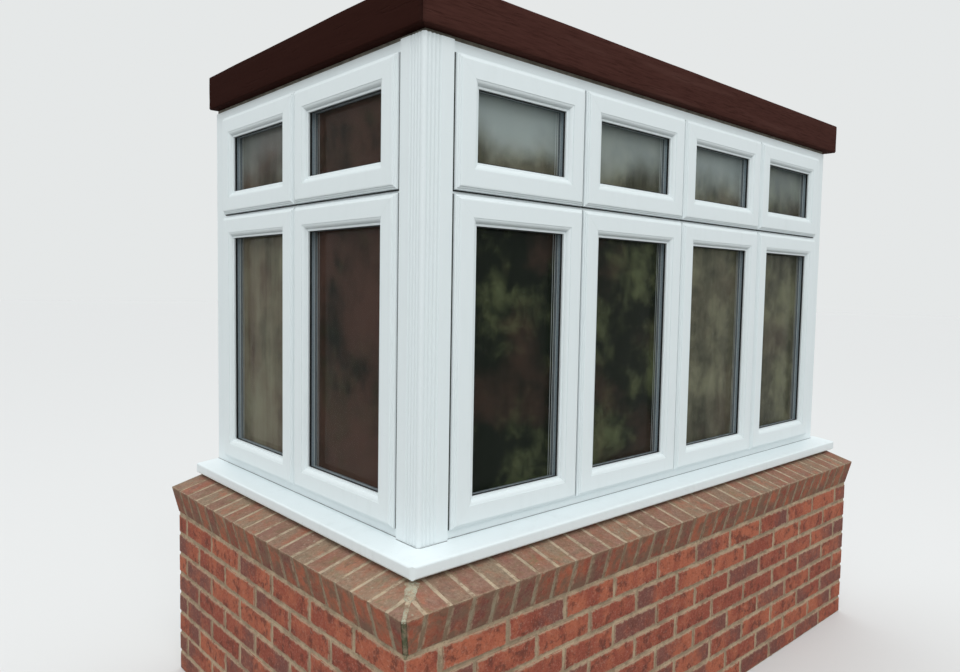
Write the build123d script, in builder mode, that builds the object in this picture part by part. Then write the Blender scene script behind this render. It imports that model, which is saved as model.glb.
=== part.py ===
import os
from math import cos, radians, sin, tan

from build123d import *

os.makedirs("parts", exist_ok=True)

# Corner casement window on its dwarf brick wall, in millimetres.
# A front of four lights and a return of two lights meet at a square corner post.
# Each side is described the same way: a run along the wall from the corner,
# a depth into the room from the outer face of the post, and a height above the frame's foot.

# Brick wall
course_gauge = 75.0
course_count = 8
brick_leaf = 102.5
cavity = 61.0
block_leaf = 112.5
wall_out = 146.0
wall_past_frame = 30.0

# Sloping sill of bricks on edge
sill_tilt = 15.0
sill_nose_out = 172.0
sill_brick_height = 102.5

# White cill under the frame
cill_out = 77.0
cill_thickness = 30.0
cill_fall = 9.0
cill_nose_height = 35.0
cill_nose_radius = 6.0
cill_corner_radius = 14.0
cill_lip = 10.0
cill_bed = 2.0
cill_bed_set_back = 26.0
cill_past_wall = 20.0
end_cap_thickness = 3.0

# Outer frames
frame_height = 1300.0
frame_face = 8.0
frame_depth = 70.0
frame_lip = 14.0
frame_lip_depth = 10.0
lip_chamfer = 5.0
foot_strip = 25.0
head_strip = 30.0
front_end_strip = 78.0
left_end_strip = 87.0
transom_height = 917.5
transom_strip = 10.0

# Corner post and its covers
cover_leg = 98.0
cover_radius = 8.0
flute_count = 4
flute_pitch = 12.5
flute_radius = 5.5
flute_depth = 2.6
flute_margin = 15.0
post_wall = 5.0
post_radius = 4.0
inner_cover_leg = 42.0
inner_cover_thickness = 4.0

# Sashes, from the post outwards along each side
front_sash_widths = (504.0, 529.0, 537.0, 516.0)
left_sash_widths = (544.0, 532.0)
sash_gap = 7.0
sash_rail = 78.0
sash_face_out = 12.0
sash_bevel = 14.0
bevel_steps = 3
riser_share = 0.8
tread_share = 0.75
sash_overlap = 8.0
sash_clearance = 4.0
sash_seal = 0.3
sash_room_gap = 2.0
seal_width = 3.1
seal_thickness = 5.0
seal_gap = 0.3
quirk = 1.5
ovolo_width = 14.0
ovolo_depth = 10.0
ovolo_radius = 13.0
glazing_lip = 6.0
lip_back = 6.0
lip_edge = 6.0
glass_cover = 14.0
rebate_clearance = 4.0

# Sealed glass units
pane = 4.0
unit_space = 20.0
gasket = 2.0
gasket_width = 8.0
spacer_width = 9.0
spacer_inset = 4.0
bead_bevel = 10.0

# Window board, head beam and its seal
board_thickness = 25.0
board_overhang = 36.0
board_nose_radius = 8.0
head_seal_thickness = 12.0
head_seal_inset = 6.0
beam_height = 120.0
beam_thickness = 100.0
beam_out = 20.0
beam_past_frame = 60.0
beam_arris = 4.0

# Casement handle
handle_height = 450.0
plate_width = 24.0
plate_height = 62.0
plate_thickness = 8.0
plate_bevel = 2.0
boss_radius = 11.0
boss_length = 9.0
neck_length = 32.0
neck_bend = 15.0
neck_straight = 1.0
lever_length = 116.0
lever_width = 19.0
lever_thickness = 12.0
lever_radius = 4.0
tip_width = 13.0
tip_thickness = 8.0
tip_radius = 3.0
handle_inset = 38.0

# Heights and places worked out from the sizes above
wall_height = course_gauge * course_count
slope = tan(radians(sill_tilt))
wall_in = brick_leaf + cavity - wall_out
sill_nose_drop = cill_thickness + cill_bed + (sill_nose_out + wall_in) * slope
sill_foot_back = sill_brick_height * sin(radians(sill_tilt))
sill_foot_out = sill_nose_out - sill_foot_back
sill_foot_drop = sill_nose_drop + sill_brick_height * cos(radians(sill_tilt))
bed_drop = sill_foot_drop - (sill_foot_out - wall_out) * slope
foot = wall_height + bed_drop
room_face = wall_in + block_leaf
frame_back = frame_face + frame_depth
frame_start = frame_back
front_frame_end = cover_leg + sum(front_sash_widths) + sash_gap * len(front_sash_widths) + front_end_strip
left_end = cover_leg + sum(left_sash_widths) + sash_gap * len(left_sash_widths) + left_end_strip
front_wall_end = front_frame_end + wall_past_frame
beam_end = front_frame_end + beam_past_frame
sash_back = frame_back - frame_lip_depth - sash_room_gap
glass_front = lip_back + gasket
glass_back = glass_front + 2 * pane + unit_space

# The part's origin is on the ground under the middle of its outline
corner_x = sill_nose_out - (sill_nose_out + beam_end) / 2
corner_y = sill_nose_out - (sill_nose_out + left_end) / 2

SIDES = ("front", "left")
sense = {"front": 1, "left": -1}
run_end = {"front": front_frame_end, "left": left_end}
sash_widths = {"front": front_sash_widths, "left": left_sash_widths}


def section_plane(side, run):
    """Plane across one side: its x is the depth into the room, its y the height above the foot."""
    if side == "front":
        return Plane(origin=(corner_x + run, corner_y, foot), x_dir=(0, 1, 0), z_dir=(1, 0, 0))
    return Plane(origin=(corner_x, corner_y + run, foot), x_dir=(1, 0, 0), z_dir=(0, -1, 0))


def elevation_plane(side, depth):
    """Plane along one side: its x is the run from the corner, its y the height above the foot."""
    if side == "front":
        return Plane(origin=(corner_x, corner_y + depth, foot), x_dir=(1, 0, 0), z_dir=(0, -1, 0))
    return Plane(origin=(corner_x + depth, corner_y, foot), x_dir=(0, 1, 0), z_dir=(1, 0, 0))


def plan_plane(height):
    """Level plane with its origin at the outer corner of the post."""
    return Plane(origin=(corner_x, corner_y, foot + height), x_dir=(1, 0, 0), z_dir=(0, 0, 1))


def mitre_to_corner(side):
    """Cuts the pending part on the upright plane that halves the corner."""
    halving = Plane(origin=(corner_x, corner_y, 0), z_dir=(1, -1, 0))
    split(bisect_by=halving, keep=Keep.TOP if side == "front" else Keep.BOTTOM)


def finish(piece, name):
    """Labels a finished piece and writes it to its own file."""
    piece.part.label = name
    export_step(piece.part, f"parts/{name}.step")


def run_of(side, points, end):
    """A straight run of one section from the corner mitre to an end."""
    start = -max(sill_nose_out, beam_out)
    with BuildPart() as run:
        with BuildSketch(section_plane(side, start)):
            with BuildLine():
                Polyline(*points, close=True)
            make_face()
        extrude(amount=sense[side] * (end - start))
        mitre_to_corner(side)
    return run


def bed_line(depth):
    """Height of the sloping bed under the sill bricks at a depth."""
    return (depth + wall_out) * slope - bed_drop


def sill_line(depth):
    """Height of the sloping top of the sill bricks at a depth."""
    return (depth + sill_nose_out) * slope - sill_nose_drop


# Outer brick leaf, cavity fill and plastered block leaf
ground = -foot
cavity_face = brick_leaf - wall_out
block_top = -cill_thickness
wall_ends = {"front": front_wall_end, "left": left_end}
for side in SIDES:
    with BuildPart() as brick_wall:
        with BuildSketch(section_plane(side, -wall_out)):
            with BuildLine():
                Polyline(
                    (-wall_out, ground),
                    (cavity_face, ground),
                    (cavity_face, bed_line(cavity_face)),
                    (-wall_out, bed_line(-wall_out)),
                    close=True,
                )
            make_face()
        extrude(amount=sense[side] * (wall_ends[side] + wall_out))
        mitre_to_corner(side)
        if side == "front":
            # The leaf turns in at its free end and closes the cavity
            with BuildSketch(section_plane(side, front_wall_end - brick_leaf)):
                with BuildLine():
                    Polyline(
                        (cavity_face, ground),
                        (room_face, ground),
                        (room_face, block_top),
                        (wall_in, block_top),
                        (wall_in, bed_line(wall_in)),
                        (cavity_face, bed_line(cavity_face)),
                        close=True,
                    )
                make_face()
            extrude(amount=brick_leaf)
    finish(brick_wall, f"{side}_brick_wall")

    inner_end = front_wall_end - brick_leaf if side == "front" else left_end
    cavity_fill = run_of(
        side,
        (
            (cavity_face, ground),
            (wall_in, ground),
            (wall_in, bed_line(wall_in)),
            (cavity_face, bed_line(cavity_face)),
        ),
        inner_end,
    )
    finish(cavity_fill, f"{side}_cavity_fill")

    block_wall = run_of(
        side,
        ((wall_in, ground), (room_face, ground), (room_face, block_top), (wall_in, block_top)),
        inner_end,
    )
    finish(block_wall, f"{side}_block_wall")

# Bricks on edge, tilted to shed water, and the mortar bed that carries the cill on them
for side in SIDES:
    brick_sill = run_of(
        side,
        (
            (-sill_nose_out, -sill_nose_drop),
            (-sill_foot_out, -sill_foot_drop),
            (wall_in, bed_line(wall_in)),
            (wall_in, sill_line(wall_in)),
        ),
        wall_ends[side],
    )
    finish(brick_sill, f"{side}_brick_sill")

    bed_front = cill_bed_set_back - cill_out
    cill_bedding = run_of(
        side,
        (
            (bed_front, sill_line(bed_front)),
            (wall_in, sill_line(wall_in)),
            (wall_in, -cill_thickness),
            (bed_front, -cill_thickness),
        ),
        wall_ends[side],
    )
    finish(cill_bedding, f"{side}_cill_bedding")


def cill_section():
    """Cill outline: falling top, rounded nose, drip lip and flat seat, front to the left."""
    nose_top = -cill_fall
    nose_foot = nose_top - cill_nose_height
    with BuildSketch() as section:
        with BuildLine():
            Polyline(
                (frame_face, 0),
                (-cill_out, nose_top),
                (-cill_out, nose_foot),
                (cill_lip - cill_out, nose_foot),
                (cill_lip - cill_out, -cill_thickness),
                (frame_back, -cill_thickness),
                (frame_back, 0),
                close=True,
            )
        make_face()
        nose = section.vertices().sort_by(Axis.X)[:2]
        fillet(nose, radius=cill_nose_radius)
    return section.sketch


cill_ends = {"front": front_wall_end + cill_past_wall, "left": left_end}
for side in SIDES:
    cap_name = "right" if side == "front" else "left"
    cap_start = cill_ends[side] - end_cap_thickness
    with BuildPart() as cill:
        with BuildSketch(section_plane(side, -cill_out)):
            add(cill_section())
        extrude(amount=sense[side] * (cap_start + cill_out))
        # The nose turns the corner in a curve
        with BuildSketch(plan_plane(-cill_fall - cill_nose_height)):
            with Locations((-cill_out, -cill_out)):
                Rectangle(cill_corner_radius, cill_corner_radius, align=(Align.MIN, Align.MIN))
            with Locations((cill_corner_radius - cill_out, cill_corner_radius - cill_out)):
                Circle(cill_corner_radius, mode=Mode.SUBTRACT)
        extrude(amount=cill_nose_height + cill_fall, mode=Mode.SUBTRACT)
        mitre_to_corner(side)
    finish(cill, f"{side}_cill")

    with BuildPart() as cap:
        with BuildSketch(section_plane(side, cap_start)):
            add(cill_section())
        extrude(amount=sense[side] * end_cap_thickness)
    finish(cap, f"{cap_name}_cill_end_cap")


def lights(side):
    """Outer outlines of the sashes of one side: name, left, foot, width and height."""
    outlines = []
    start = cover_leg + sash_gap
    casement_top = transom_height - transom_strip / 2
    fanlight_foot = transom_height + transom_strip / 2
    fanlight_top = frame_height - head_strip
    for number, width in enumerate(sash_widths[side], start=1):
        outlines.append((f"{side}_casement_{number}", start, foot_strip, width, casement_top - foot_strip))
        outlines.append((f"{side}_fanlight_{number}", start, fanlight_foot, width, fanlight_top - fanlight_foot))
        start += width + sash_gap
    return outlines


# Welded outer frames: one opening for each light, with a chamfered lip round it on the room side
for side in SIDES:
    with BuildPart() as frame:
        with BuildSketch(elevation_plane(side, frame_back)):
            with Locations((frame_start, 0)):
                Rectangle(run_end[side] - frame_start, frame_height, align=(Align.MIN, Align.MIN))
        extrude(amount=sense[side] * frame_depth)
        for name, left, low, width, height in lights(side):
            middle = (left + width / 2, low + height / 2)
            opening = (width - 2 * sash_overlap, height - 2 * sash_overlap)
            with BuildSketch(elevation_plane(side, frame_back - frame_lip_depth)):
                with Locations(middle):
                    Rectangle(*opening)
            extrude(amount=sense[side] * (frame_depth - frame_lip_depth), mode=Mode.SUBTRACT)
            clear = (opening[0] - 2 * frame_lip, opening[1] - 2 * frame_lip)
            with BuildSketch(elevation_plane(side, frame_back)):
                with Locations(middle):
                    Rectangle(*clear)
            extrude(amount=sense[side] * frame_lip_depth, mode=Mode.SUBTRACT)
            with BuildSketch(elevation_plane(side, frame_back)):
                with Locations(middle):
                    Rectangle(clear[0] + 2 * lip_chamfer, clear[1] + 2 * lip_chamfer)
            extrude(amount=sense[side] * lip_chamfer, taper=45, mode=Mode.SUBTRACT)
    finish(frame, f"{side}_frame")


def sash_section(low):
    """Sash section at its foot rail, outer edge down: x is depth, y is height."""
    edge = low
    rail = low + sash_rail
    face = -sash_face_out
    ovolo_start = rail - glazing_lip - ovolo_width
    ovolo_end = face + quirk + ovolo_depth
    rebate = rail - glass_cover - rebate_clearance
    # The outer bevel is moulded in steps, each with a short riser and a nearly upright tread
    step_out = sash_face_out / bevel_steps
    step_up = sash_bevel / bevel_steps
    steps = []
    for number in range(bevel_steps):
        steps.append((-(number + riser_share) * step_out, edge + (number + 1 - tread_share) * step_up))
        steps.append((-(number + 1) * step_out, edge + (number + 1) * step_up))
    with BuildSketch() as section:
        with BuildLine():
            Polyline(
                (frame_face - sash_seal, edge),
                (0, edge),
                *steps,
                (face, ovolo_start),
                (face + quirk, ovolo_start),
            )
            RadiusArc(
                (face + quirk, ovolo_start),
                (ovolo_end, ovolo_start + ovolo_width),
                ovolo_radius,
            )
            Polyline(
                (ovolo_end, ovolo_start + ovolo_width),
                (lip_back - lip_edge, rail),
                (lip_back, rail),
                (lip_back, rebate),
                (sash_back, rebate),
                (sash_back, edge + sash_overlap + sash_clearance),
                (frame_face - sash_seal, edge + sash_overlap + sash_clearance),
                (frame_face - sash_seal, edge),
            )
        make_face()
    return section.sketch


def ring_path(side, left, low, width, height):
    """Rectangle of a light, started in the middle of its foot so that all corners are mitred."""
    with BuildLine(elevation_plane(side, 0)) as path:
        Polyline(
            (left + width / 2, low),
            (left + width, low),
            (left + width, low + height),
            (left, low + height),
            (left, low),
            (left + width / 2, low),
        )
    return path.wires()[0]


for side in SIDES:
    for name, left, low, width, height in lights(side):
        path = ring_path(side, left, low, width, height)
        with BuildPart() as sash:
            with BuildSketch(section_plane(side, left + width / 2)):
                add(sash_section(low))
            sweep(path=path, transition=Transition.RIGHT)
        finish(sash, name)


# Black weather seal on the frame's face round each sash, which shows as the dark line in the gaps
for side in SIDES:
    with BuildPart() as seals:
        for name, left, low, width, height in lights(side):
            with BuildSketch(elevation_plane(side, frame_face)):
                with Locations((left + width / 2, low + height / 2)):
                    for margin, mode in ((seal_gap + seal_width, Mode.ADD), (seal_gap, Mode.SUBTRACT)):
                        Rectangle(width + 2 * margin, height + 2 * margin, mode=mode)
            extrude(amount=sense[side] * seal_thickness)
    finish(seals, f"{side}_sash_seals")


def glass_outline(left, low, width, height, inset):
    """Middle and size of a rectangle set in from the edges of a sealed unit."""
    edge = sash_rail - glass_cover + inset
    return (left + width / 2, low + height / 2), width - 2 * edge, height - 2 * edge


# Sealed units: two panes, the spacer bar between them, gaskets on both faces and a bead inside
for side in SIDES:
    with BuildPart() as panes:
        for name, *light in lights(side):
            middle, width, height = glass_outline(*light, 0)
            for depth in (glass_front + pane, glass_back):
                with BuildSketch(elevation_plane(side, depth)):
                    with Locations(middle):
                        Rectangle(width, height)
                extrude(amount=sense[side] * pane)
    finish(panes, f"{side}_glass_panes")

    with BuildPart() as spacers:
        for name, *light in lights(side):
            with BuildSketch(elevation_plane(side, glass_back - pane)):
                for inset, mode in ((spacer_inset, Mode.ADD), (spacer_inset + spacer_width, Mode.SUBTRACT)):
                    middle, width, height = glass_outline(*light, inset)
                    with Locations(middle):
                        Rectangle(width, height, mode=mode)
            extrude(amount=sense[side] * unit_space)
    finish(spacers, f"{side}_spacer_bars")

    with BuildPart() as gaskets:
        for name, *light in lights(side):
            for depth in (glass_front, glass_back + gasket):
                with BuildSketch(elevation_plane(side, depth)):
                    for inset, mode in ((glass_cover - gasket_width, Mode.ADD), (glass_cover, Mode.SUBTRACT)):
                        middle, width, height = glass_outline(*light, inset)
                        with Locations(middle):
                            Rectangle(width, height, mode=mode)
                extrude(amount=sense[side] * gasket)
    finish(gaskets, f"{side}_gaskets")

    with BuildPart() as beads:
        bead_front = glass_back + gasket
        for name, left, low, width, height in lights(side):
            path = ring_path(side, left, low, width, height)
            rail = low + sash_rail
            floor = rail - glass_cover - rebate_clearance
            with BuildSketch(section_plane(side, left + width / 2)):
                with BuildLine():
                    Polyline(
                        (bead_front, floor),
                        (bead_front, rail),
                        (sash_back - bead_bevel, rail),
                        (sash_back, rail - bead_bevel),
                        (sash_back, floor),
                        close=True,
                    )
                make_face()
            sweep(path=path, transition=Transition.RIGHT)
    finish(beads, f"{side}_glazing_beads")

# Corner post: a square tube that both frames fix to
post_size = frame_back - frame_face
with BuildPart() as post:
    with BuildSketch(plan_plane(0)):
        with Locations((frame_face + post_size / 2, frame_face + post_size / 2)):
            RectangleRounded(post_size, post_size, post_radius)
            Rectangle(post_size - 2 * post_wall, post_size - 2 * post_wall, mode=Mode.SUBTRACT)
    extrude(amount=frame_height)
finish(post, "corner_post")

# Outer cover of the post: an angle with flutes down both faces beside its rounded arris
flute_sink = flute_radius - flute_depth
with BuildPart() as cover:
    with BuildSketch(plan_plane(0)) as plan:
        with BuildLine():
            Polyline(
                (0, 0),
                (cover_leg, 0),
                (cover_leg, frame_face),
                (frame_face, frame_face),
                (frame_face, cover_leg),
                (0, cover_leg),
                close=True,
            )
        make_face()
        arris = plan.vertices().sort_by_distance((0, 0))[0]
        fillet(arris, radius=cover_radius)
        for number in range(flute_count):
            along = flute_margin + number * flute_pitch
            with Locations((along, -flute_sink), (-flute_sink, along)):
                Circle(flute_radius, mode=Mode.SUBTRACT)
    extrude(amount=frame_height)
finish(cover, "corner_post_cover")

with BuildPart() as inner_cover:
    with BuildSketch(plan_plane(0)):
        with BuildLine():
            Polyline(
                (frame_back, frame_back),
                (frame_back + inner_cover_leg, frame_back),
                (frame_back + inner_cover_leg, frame_back + inner_cover_thickness),
                (frame_back + inner_cover_thickness, frame_back + inner_cover_thickness),
                (frame_back + inner_cover_thickness, frame_back + inner_cover_leg),
                (frame_back, frame_back + inner_cover_leg),
                close=True,
            )
        make_face()
    extrude(amount=frame_height)
finish(inner_cover, "inner_corner_cover")

# Window boards on the block leaf, behind the frames
board_ends = {"front": front_wall_end, "left": left_end}
for side in SIDES:
    board_front = room_face + board_overhang
    with BuildPart() as board:
        with BuildSketch(section_plane(side, 0)) as outline:
            with BuildLine():
                Polyline(
                    (frame_back, block_top),
                    (board_front, block_top),
                    (board_front, block_top + board_thickness),
                    (frame_back, block_top + board_thickness),
                    close=True,
                )
            make_face()
            nose = outline.vertices().sort_by(Axis.X)[-2:]
            fillet(nose, radius=board_nose_radius)
        extrude(amount=sense[side] * board_ends[side])
        mitre_to_corner(side)
    finish(board, f"{side}_window_board")

# Seal on top of the frames, and the painted beam that it closes up to
with BuildPart() as head_seal:
    with BuildSketch(plan_plane(frame_height)):
        seal_front = frame_face + head_seal_inset
        seal_back = frame_back - head_seal_inset
        with BuildLine():
            Polyline(
                (seal_front, seal_front),
                (front_frame_end, seal_front),
                (front_frame_end, seal_back),
                (seal_back, seal_back),
                (seal_back, left_end),
                (seal_front, left_end),
                close=True,
            )
        make_face()
    extrude(amount=head_seal_thickness)
finish(head_seal, "head_seal")

beam_ends = {"front": beam_end, "left": left_end}
beam_foot = frame_height + head_seal_thickness
for side in SIDES:
    with BuildPart() as beam:
        with BuildSketch(section_plane(side, -beam_out)) as outline:
            with BuildLine():
                Polyline(
                    (-beam_out, beam_foot),
                    (beam_thickness - beam_out, beam_foot),
                    (beam_thickness - beam_out, beam_foot + beam_height),
                    (-beam_out, beam_foot + beam_height),
                    close=True,
                )
            make_face()
            chamfer(outline.vertices().group_by(Axis.X)[0].sort_by(Axis.Y)[0], length=beam_arris)
        extrude(amount=sense[side] * (beam_ends[side] + beam_out))
        mitre_to_corner(side)
    finish(beam, f"{side}_head_beam")

# Lever handles inside the two casements at the ends of the front: plate, boss and cranked lever
handle_runs = (
    cover_leg + sash_gap + front_sash_widths[0] - handle_inset,
    front_frame_end - front_end_strip - front_sash_widths[-1] + handle_inset,
)
plate_back = sash_back + plate_thickness - plate_bevel
boss_foot = sash_back + plate_thickness
lever_depth = boss_foot + neck_length
bend_foot = handle_height - neck_bend - neck_straight
with BuildPart() as handles:
    for run in handle_runs:
        with BuildSketch(elevation_plane("front", plate_back)):
            with Locations((run, handle_height)):
                RectangleRounded(plate_width, plate_height, plate_width / 3)
        extrude(amount=plate_thickness - plate_bevel)
        with BuildSketch(elevation_plane("front", plate_back)):
            with Locations((run, handle_height)):
                RectangleRounded(plate_width, plate_height, plate_width / 3)
        extrude(amount=-plate_bevel, taper=45)
        with BuildSketch(elevation_plane("front", boss_foot + boss_length)):
            with Locations((run, handle_height)):
                Circle(boss_radius)
        extrude(amount=boss_length)
        with BuildLine(section_plane("front", run)) as neck:
            FilletPolyline(
                (boss_foot, handle_height),
                (lever_depth, handle_height),
                (lever_depth, bend_foot),
                radius=neck_bend,
            )
        with BuildSketch(elevation_plane("front", boss_foot)):
            with Locations((run, handle_height)):
                RectangleRounded(lever_width, lever_thickness, lever_radius)
        sweep(path=neck.wires()[0])
        with BuildSketch(plan_plane(bend_foot)):
            with Locations((run, lever_depth)):
                RectangleRounded(lever_width, lever_thickness, lever_radius)
        with BuildSketch(plan_plane(handle_height - lever_length)):
            with Locations((run, lever_depth)):
                RectangleRounded(tip_width, tip_thickness, tip_radius)
        loft()
finish(handles, "casement_handles")
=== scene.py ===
"""Corner casement window on its dwarf brick wall, finished around its packed construction."""

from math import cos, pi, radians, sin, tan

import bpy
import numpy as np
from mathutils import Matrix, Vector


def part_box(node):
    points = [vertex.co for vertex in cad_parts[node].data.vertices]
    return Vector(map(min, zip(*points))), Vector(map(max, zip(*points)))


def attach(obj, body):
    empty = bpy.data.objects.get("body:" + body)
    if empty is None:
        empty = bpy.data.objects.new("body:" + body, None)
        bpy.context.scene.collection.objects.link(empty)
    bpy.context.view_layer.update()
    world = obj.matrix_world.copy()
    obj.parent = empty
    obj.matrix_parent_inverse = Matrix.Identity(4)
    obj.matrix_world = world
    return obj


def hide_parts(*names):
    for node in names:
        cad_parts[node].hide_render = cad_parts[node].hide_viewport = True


bl_info = {
    "name": "Corner casement window",
    "version": (1, 0, 0),
    "blender": (4, 5, 0),
    "location": "3D View > Sidebar > Corner Window",
    "description": "Finishes a corner casement window on its brick wall, piece by piece",
    "category": "Add Mesh",
}

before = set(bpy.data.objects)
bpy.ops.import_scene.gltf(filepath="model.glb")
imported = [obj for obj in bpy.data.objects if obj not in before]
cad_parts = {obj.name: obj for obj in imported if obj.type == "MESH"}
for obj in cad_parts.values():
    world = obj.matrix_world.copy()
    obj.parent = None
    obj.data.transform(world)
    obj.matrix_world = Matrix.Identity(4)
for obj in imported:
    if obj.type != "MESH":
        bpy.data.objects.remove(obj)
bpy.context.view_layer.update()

MM = 0.001
BODY = "root"
SIDES = ("front", "left")
ALONG = {"front": 0, "left": 1}
INWARD = {"front": 1, "left": 0}

# The outer corner of the post at the frame's foot: runs, depths and heights are measured from it
CORNER = np.array(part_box("corner_post_cover")[0])


def box_from_corner(node):
    """Lowest and highest corner of a construction piece, measured from the post's outer corner."""
    return [np.array(corner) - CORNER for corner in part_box(node)]


GROUND = -CORNER[2]
RUN_END = {side: box_from_corner(f"{side}_brick_wall")[1][ALONG[side]] for side in SIDES}
FRAME_END = {side: box_from_corner(f"{side}_frame")[1][ALONG[side]] for side in SIDES}
WALL_OUT = -box_from_corner("front_brick_wall")[0][1]
ROOM_FACE, WALL_TOP = box_from_corner("front_brick_wall")[1][1:]
CAVITY_BACK = box_from_corner("front_cavity_fill")[1][1]
COVER_WIDTH = box_from_corner("corner_post_cover")[1][0]
FRAME_FACE = box_from_corner("front_frame")[0][1]
GLASS_FRONT, GLASS_BACK = (corner[1] for corner in box_from_corner("front_glass_panes"))

SILL_LOW = box_from_corner("front_brick_sill")[0][2]
SILL_BACK, SILL_TOP = box_from_corner("front_brick_sill")[1][1:]
SILL_TILT = radians(15)
SILL_BRICK_HEIGHT = 102.5 * MM
NOSE_OUT = -box_from_corner("front_brick_sill")[0][1]
NOSE_HEIGHT = SILL_LOW + SILL_BRICK_HEIGHT * cos(SILL_TILT)
SILL_MORTAR_REACH = 160 * MM
CILL_FALL = 9 / 85

FLUTE_FIRST = 15 * MM
FLUTE_PITCH = 12.5 * MM
FLUTES_END = 58 * MM
PANE = 4 * MM
RAIL = 78 * MM
GLASS_COVER = 14 * MM

# The sashes of each side: casements, then fanlights, from the post outwards
SASHES = {side: sorted(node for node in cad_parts
                       if node.startswith((f"{side}_casement_", f"{side}_fanlight_"))) for side in SIDES}

# How much painted room light each of their panes has, and how brown rather than olive the painted reflections
# on the panes of a side are
PANE_TONES = {"front": (0.0, 0.03, 0.80, 0.60, 0.88, 0.66, 0.80, 0.45), "left": (0.0, 0.85, 0.0, 0.35)}
PANE_WARMTH = {"front": 0.1, "left": 1.0}


def place(side, run, depth, height):
    """World points from run along a side, depth into the room and height above the frame's foot."""
    run, depth, height = np.broadcast_arrays(run, depth, height)
    along = (run, depth) if side == "front" else (depth, run)
    return np.stack((*along, height), axis=-1) + CORNER


# Shapes as arrays


def ripple(points, length, seed, waves=7):
    """Smooth unevenness, mostly from -1 to 1: the mean of sine waves of about one length, times 1.6.

    Each wave has a drawn direction, length and phase.
    """
    draws = np.random.default_rng(seed)
    directions = draws.normal(size=(waves, 3))
    directions /= np.linalg.norm(directions, axis=1, keepdims=True)
    turns = 2 * pi / (length * draws.uniform(0.6, 1.6, waves))
    phases = draws.uniform(0, 2 * pi, waves)
    return np.sin(points @ (directions * turns[:, None]).T + phases).mean(axis=-1) * 1.6


def uneven(points, depth, length, seed):
    """Points moved by slow waves of one depth and length, and none below the ground."""
    return np.maximum(points + depth * ripple(points, length, seed)[:, None], (-np.inf, -np.inf, 0.0))


def enclosed(points, groups):
    """Volume inside closed faces: each face is fanned from its first point into signed tetrahedra."""
    total = 0.0
    for group in groups:
        first = points[group[:, 0]]
        for step in range(1, group.shape[1] - 1):
            normals = np.cross(points[group[:, step]], points[group[:, step + 1]])
            total += np.einsum("ij,ij", first, normals) / 6
    return total


def add_piece(name, parts, finish, slot, nodes=(), sharp=35.0, **values):
    """Joins closed parts, each (points, [face groups]), into one mesh object with outward faces.

    Edges turn sharp above an angle, and wide faces keep their own direction in the shading.
    Values are numbers or vectors for all points in order, kept as attributes for the finish.
    """
    points, loops, sizes, count = [], [], [], 0
    for part_points, groups in parts:
        turned = enclosed(part_points - part_points.mean(axis=0), groups) < 0
        for group in groups:
            group = group[:, ::-1] if turned else group
            loops.append((group + count).ravel())
            sizes.append(np.full(len(group), group.shape[1]))
        points.append(part_points)
        count += len(part_points)
    loops, sizes = np.concatenate(loops), np.concatenate(sizes)
    mesh = bpy.data.meshes.new(name)
    mesh.vertices.add(count)
    mesh.vertices.foreach_set("co", np.concatenate(points).astype(np.float32).ravel())
    mesh.loops.add(len(loops))
    mesh.loops.foreach_set("vertex_index", loops.astype(np.int32))
    mesh.polygons.add(len(sizes))
    mesh.polygons.foreach_set("loop_start", (np.cumsum(sizes) - sizes).astype(np.int32))
    mesh.update(calc_edges=True)
    if mesh.validate(verbose=False):
        raise RuntimeError(f"{name} has faulty faces")
    mesh.shade_smooth()
    mesh.set_sharp_from_angle(angle=radians(sharp))
    for title, array in values.items():
        kind, field = ("FLOAT", "value") if array.ndim == 1 else ("FLOAT_VECTOR", "vector")
        numbers = array.astype(np.float32).ravel()
        mesh.attributes.new(title, kind, "POINT").data.foreach_set(field, numbers)
    mesh.materials.append(finish)
    piece = bpy.data.objects.new(name, mesh)
    bpy.context.scene.collection.objects.link(piece)
    wide = piece.modifiers.new("wide faces first", "WEIGHTED_NORMAL")
    wide.keep_sharp = True
    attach(piece, BODY)
    if nodes:
        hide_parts(*nodes)
    return piece


def grid_squares(rows, columns, wrap_rows=False, wrap_columns=False):
    """Squares between neighbours in a grid of points, with the last row or column joined to the first."""
    index = np.arange(rows * columns).reshape(rows, columns)
    if wrap_rows:
        index = np.vstack((index, index[:1]))
    if wrap_columns:
        index = np.hstack((index, index[:, :1]))
    corners = (index[:-1, :-1], index[1:, :-1], index[1:, 1:], index[:-1, 1:])
    return np.stack(corners, axis=-1).reshape(-1, 4)


def capped_tube(sections):
    """A closed part from rows of points: squares round and along them, and the end rows as flat caps."""
    rows, columns = sections.shape[:2]
    first = np.arange(columns)
    caps = np.stack((first[::-1], first + (rows - 1) * columns))
    return sections.reshape(-1, 3), [grid_squares(rows, columns, False, True), caps]


def run_along(side, outline, runs):
    """A section of (depth, height) points carried along a side, one station for each row of runs."""
    depth, height = np.asarray(outline, float).T
    return capped_tube(place(side, runs, depth, height))


def mitred_run(side, outline, end, stations):
    """A section carried from the corner's mitre, where each point's run is its depth, to a square end."""
    start = outline[:, 0]
    return run_along(side, outline, start + (end - start) * np.linspace(0, 1, stations)[:, None])


def slab(side, low, high):
    """A plain closed box between two corners (run, depth, height)."""
    outline = [(low[1], low[2]), (high[1], low[2]), (high[1], high[2]), (low[1], high[2])]
    return run_along(side, outline, [[low[0]], [high[0]]])


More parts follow.
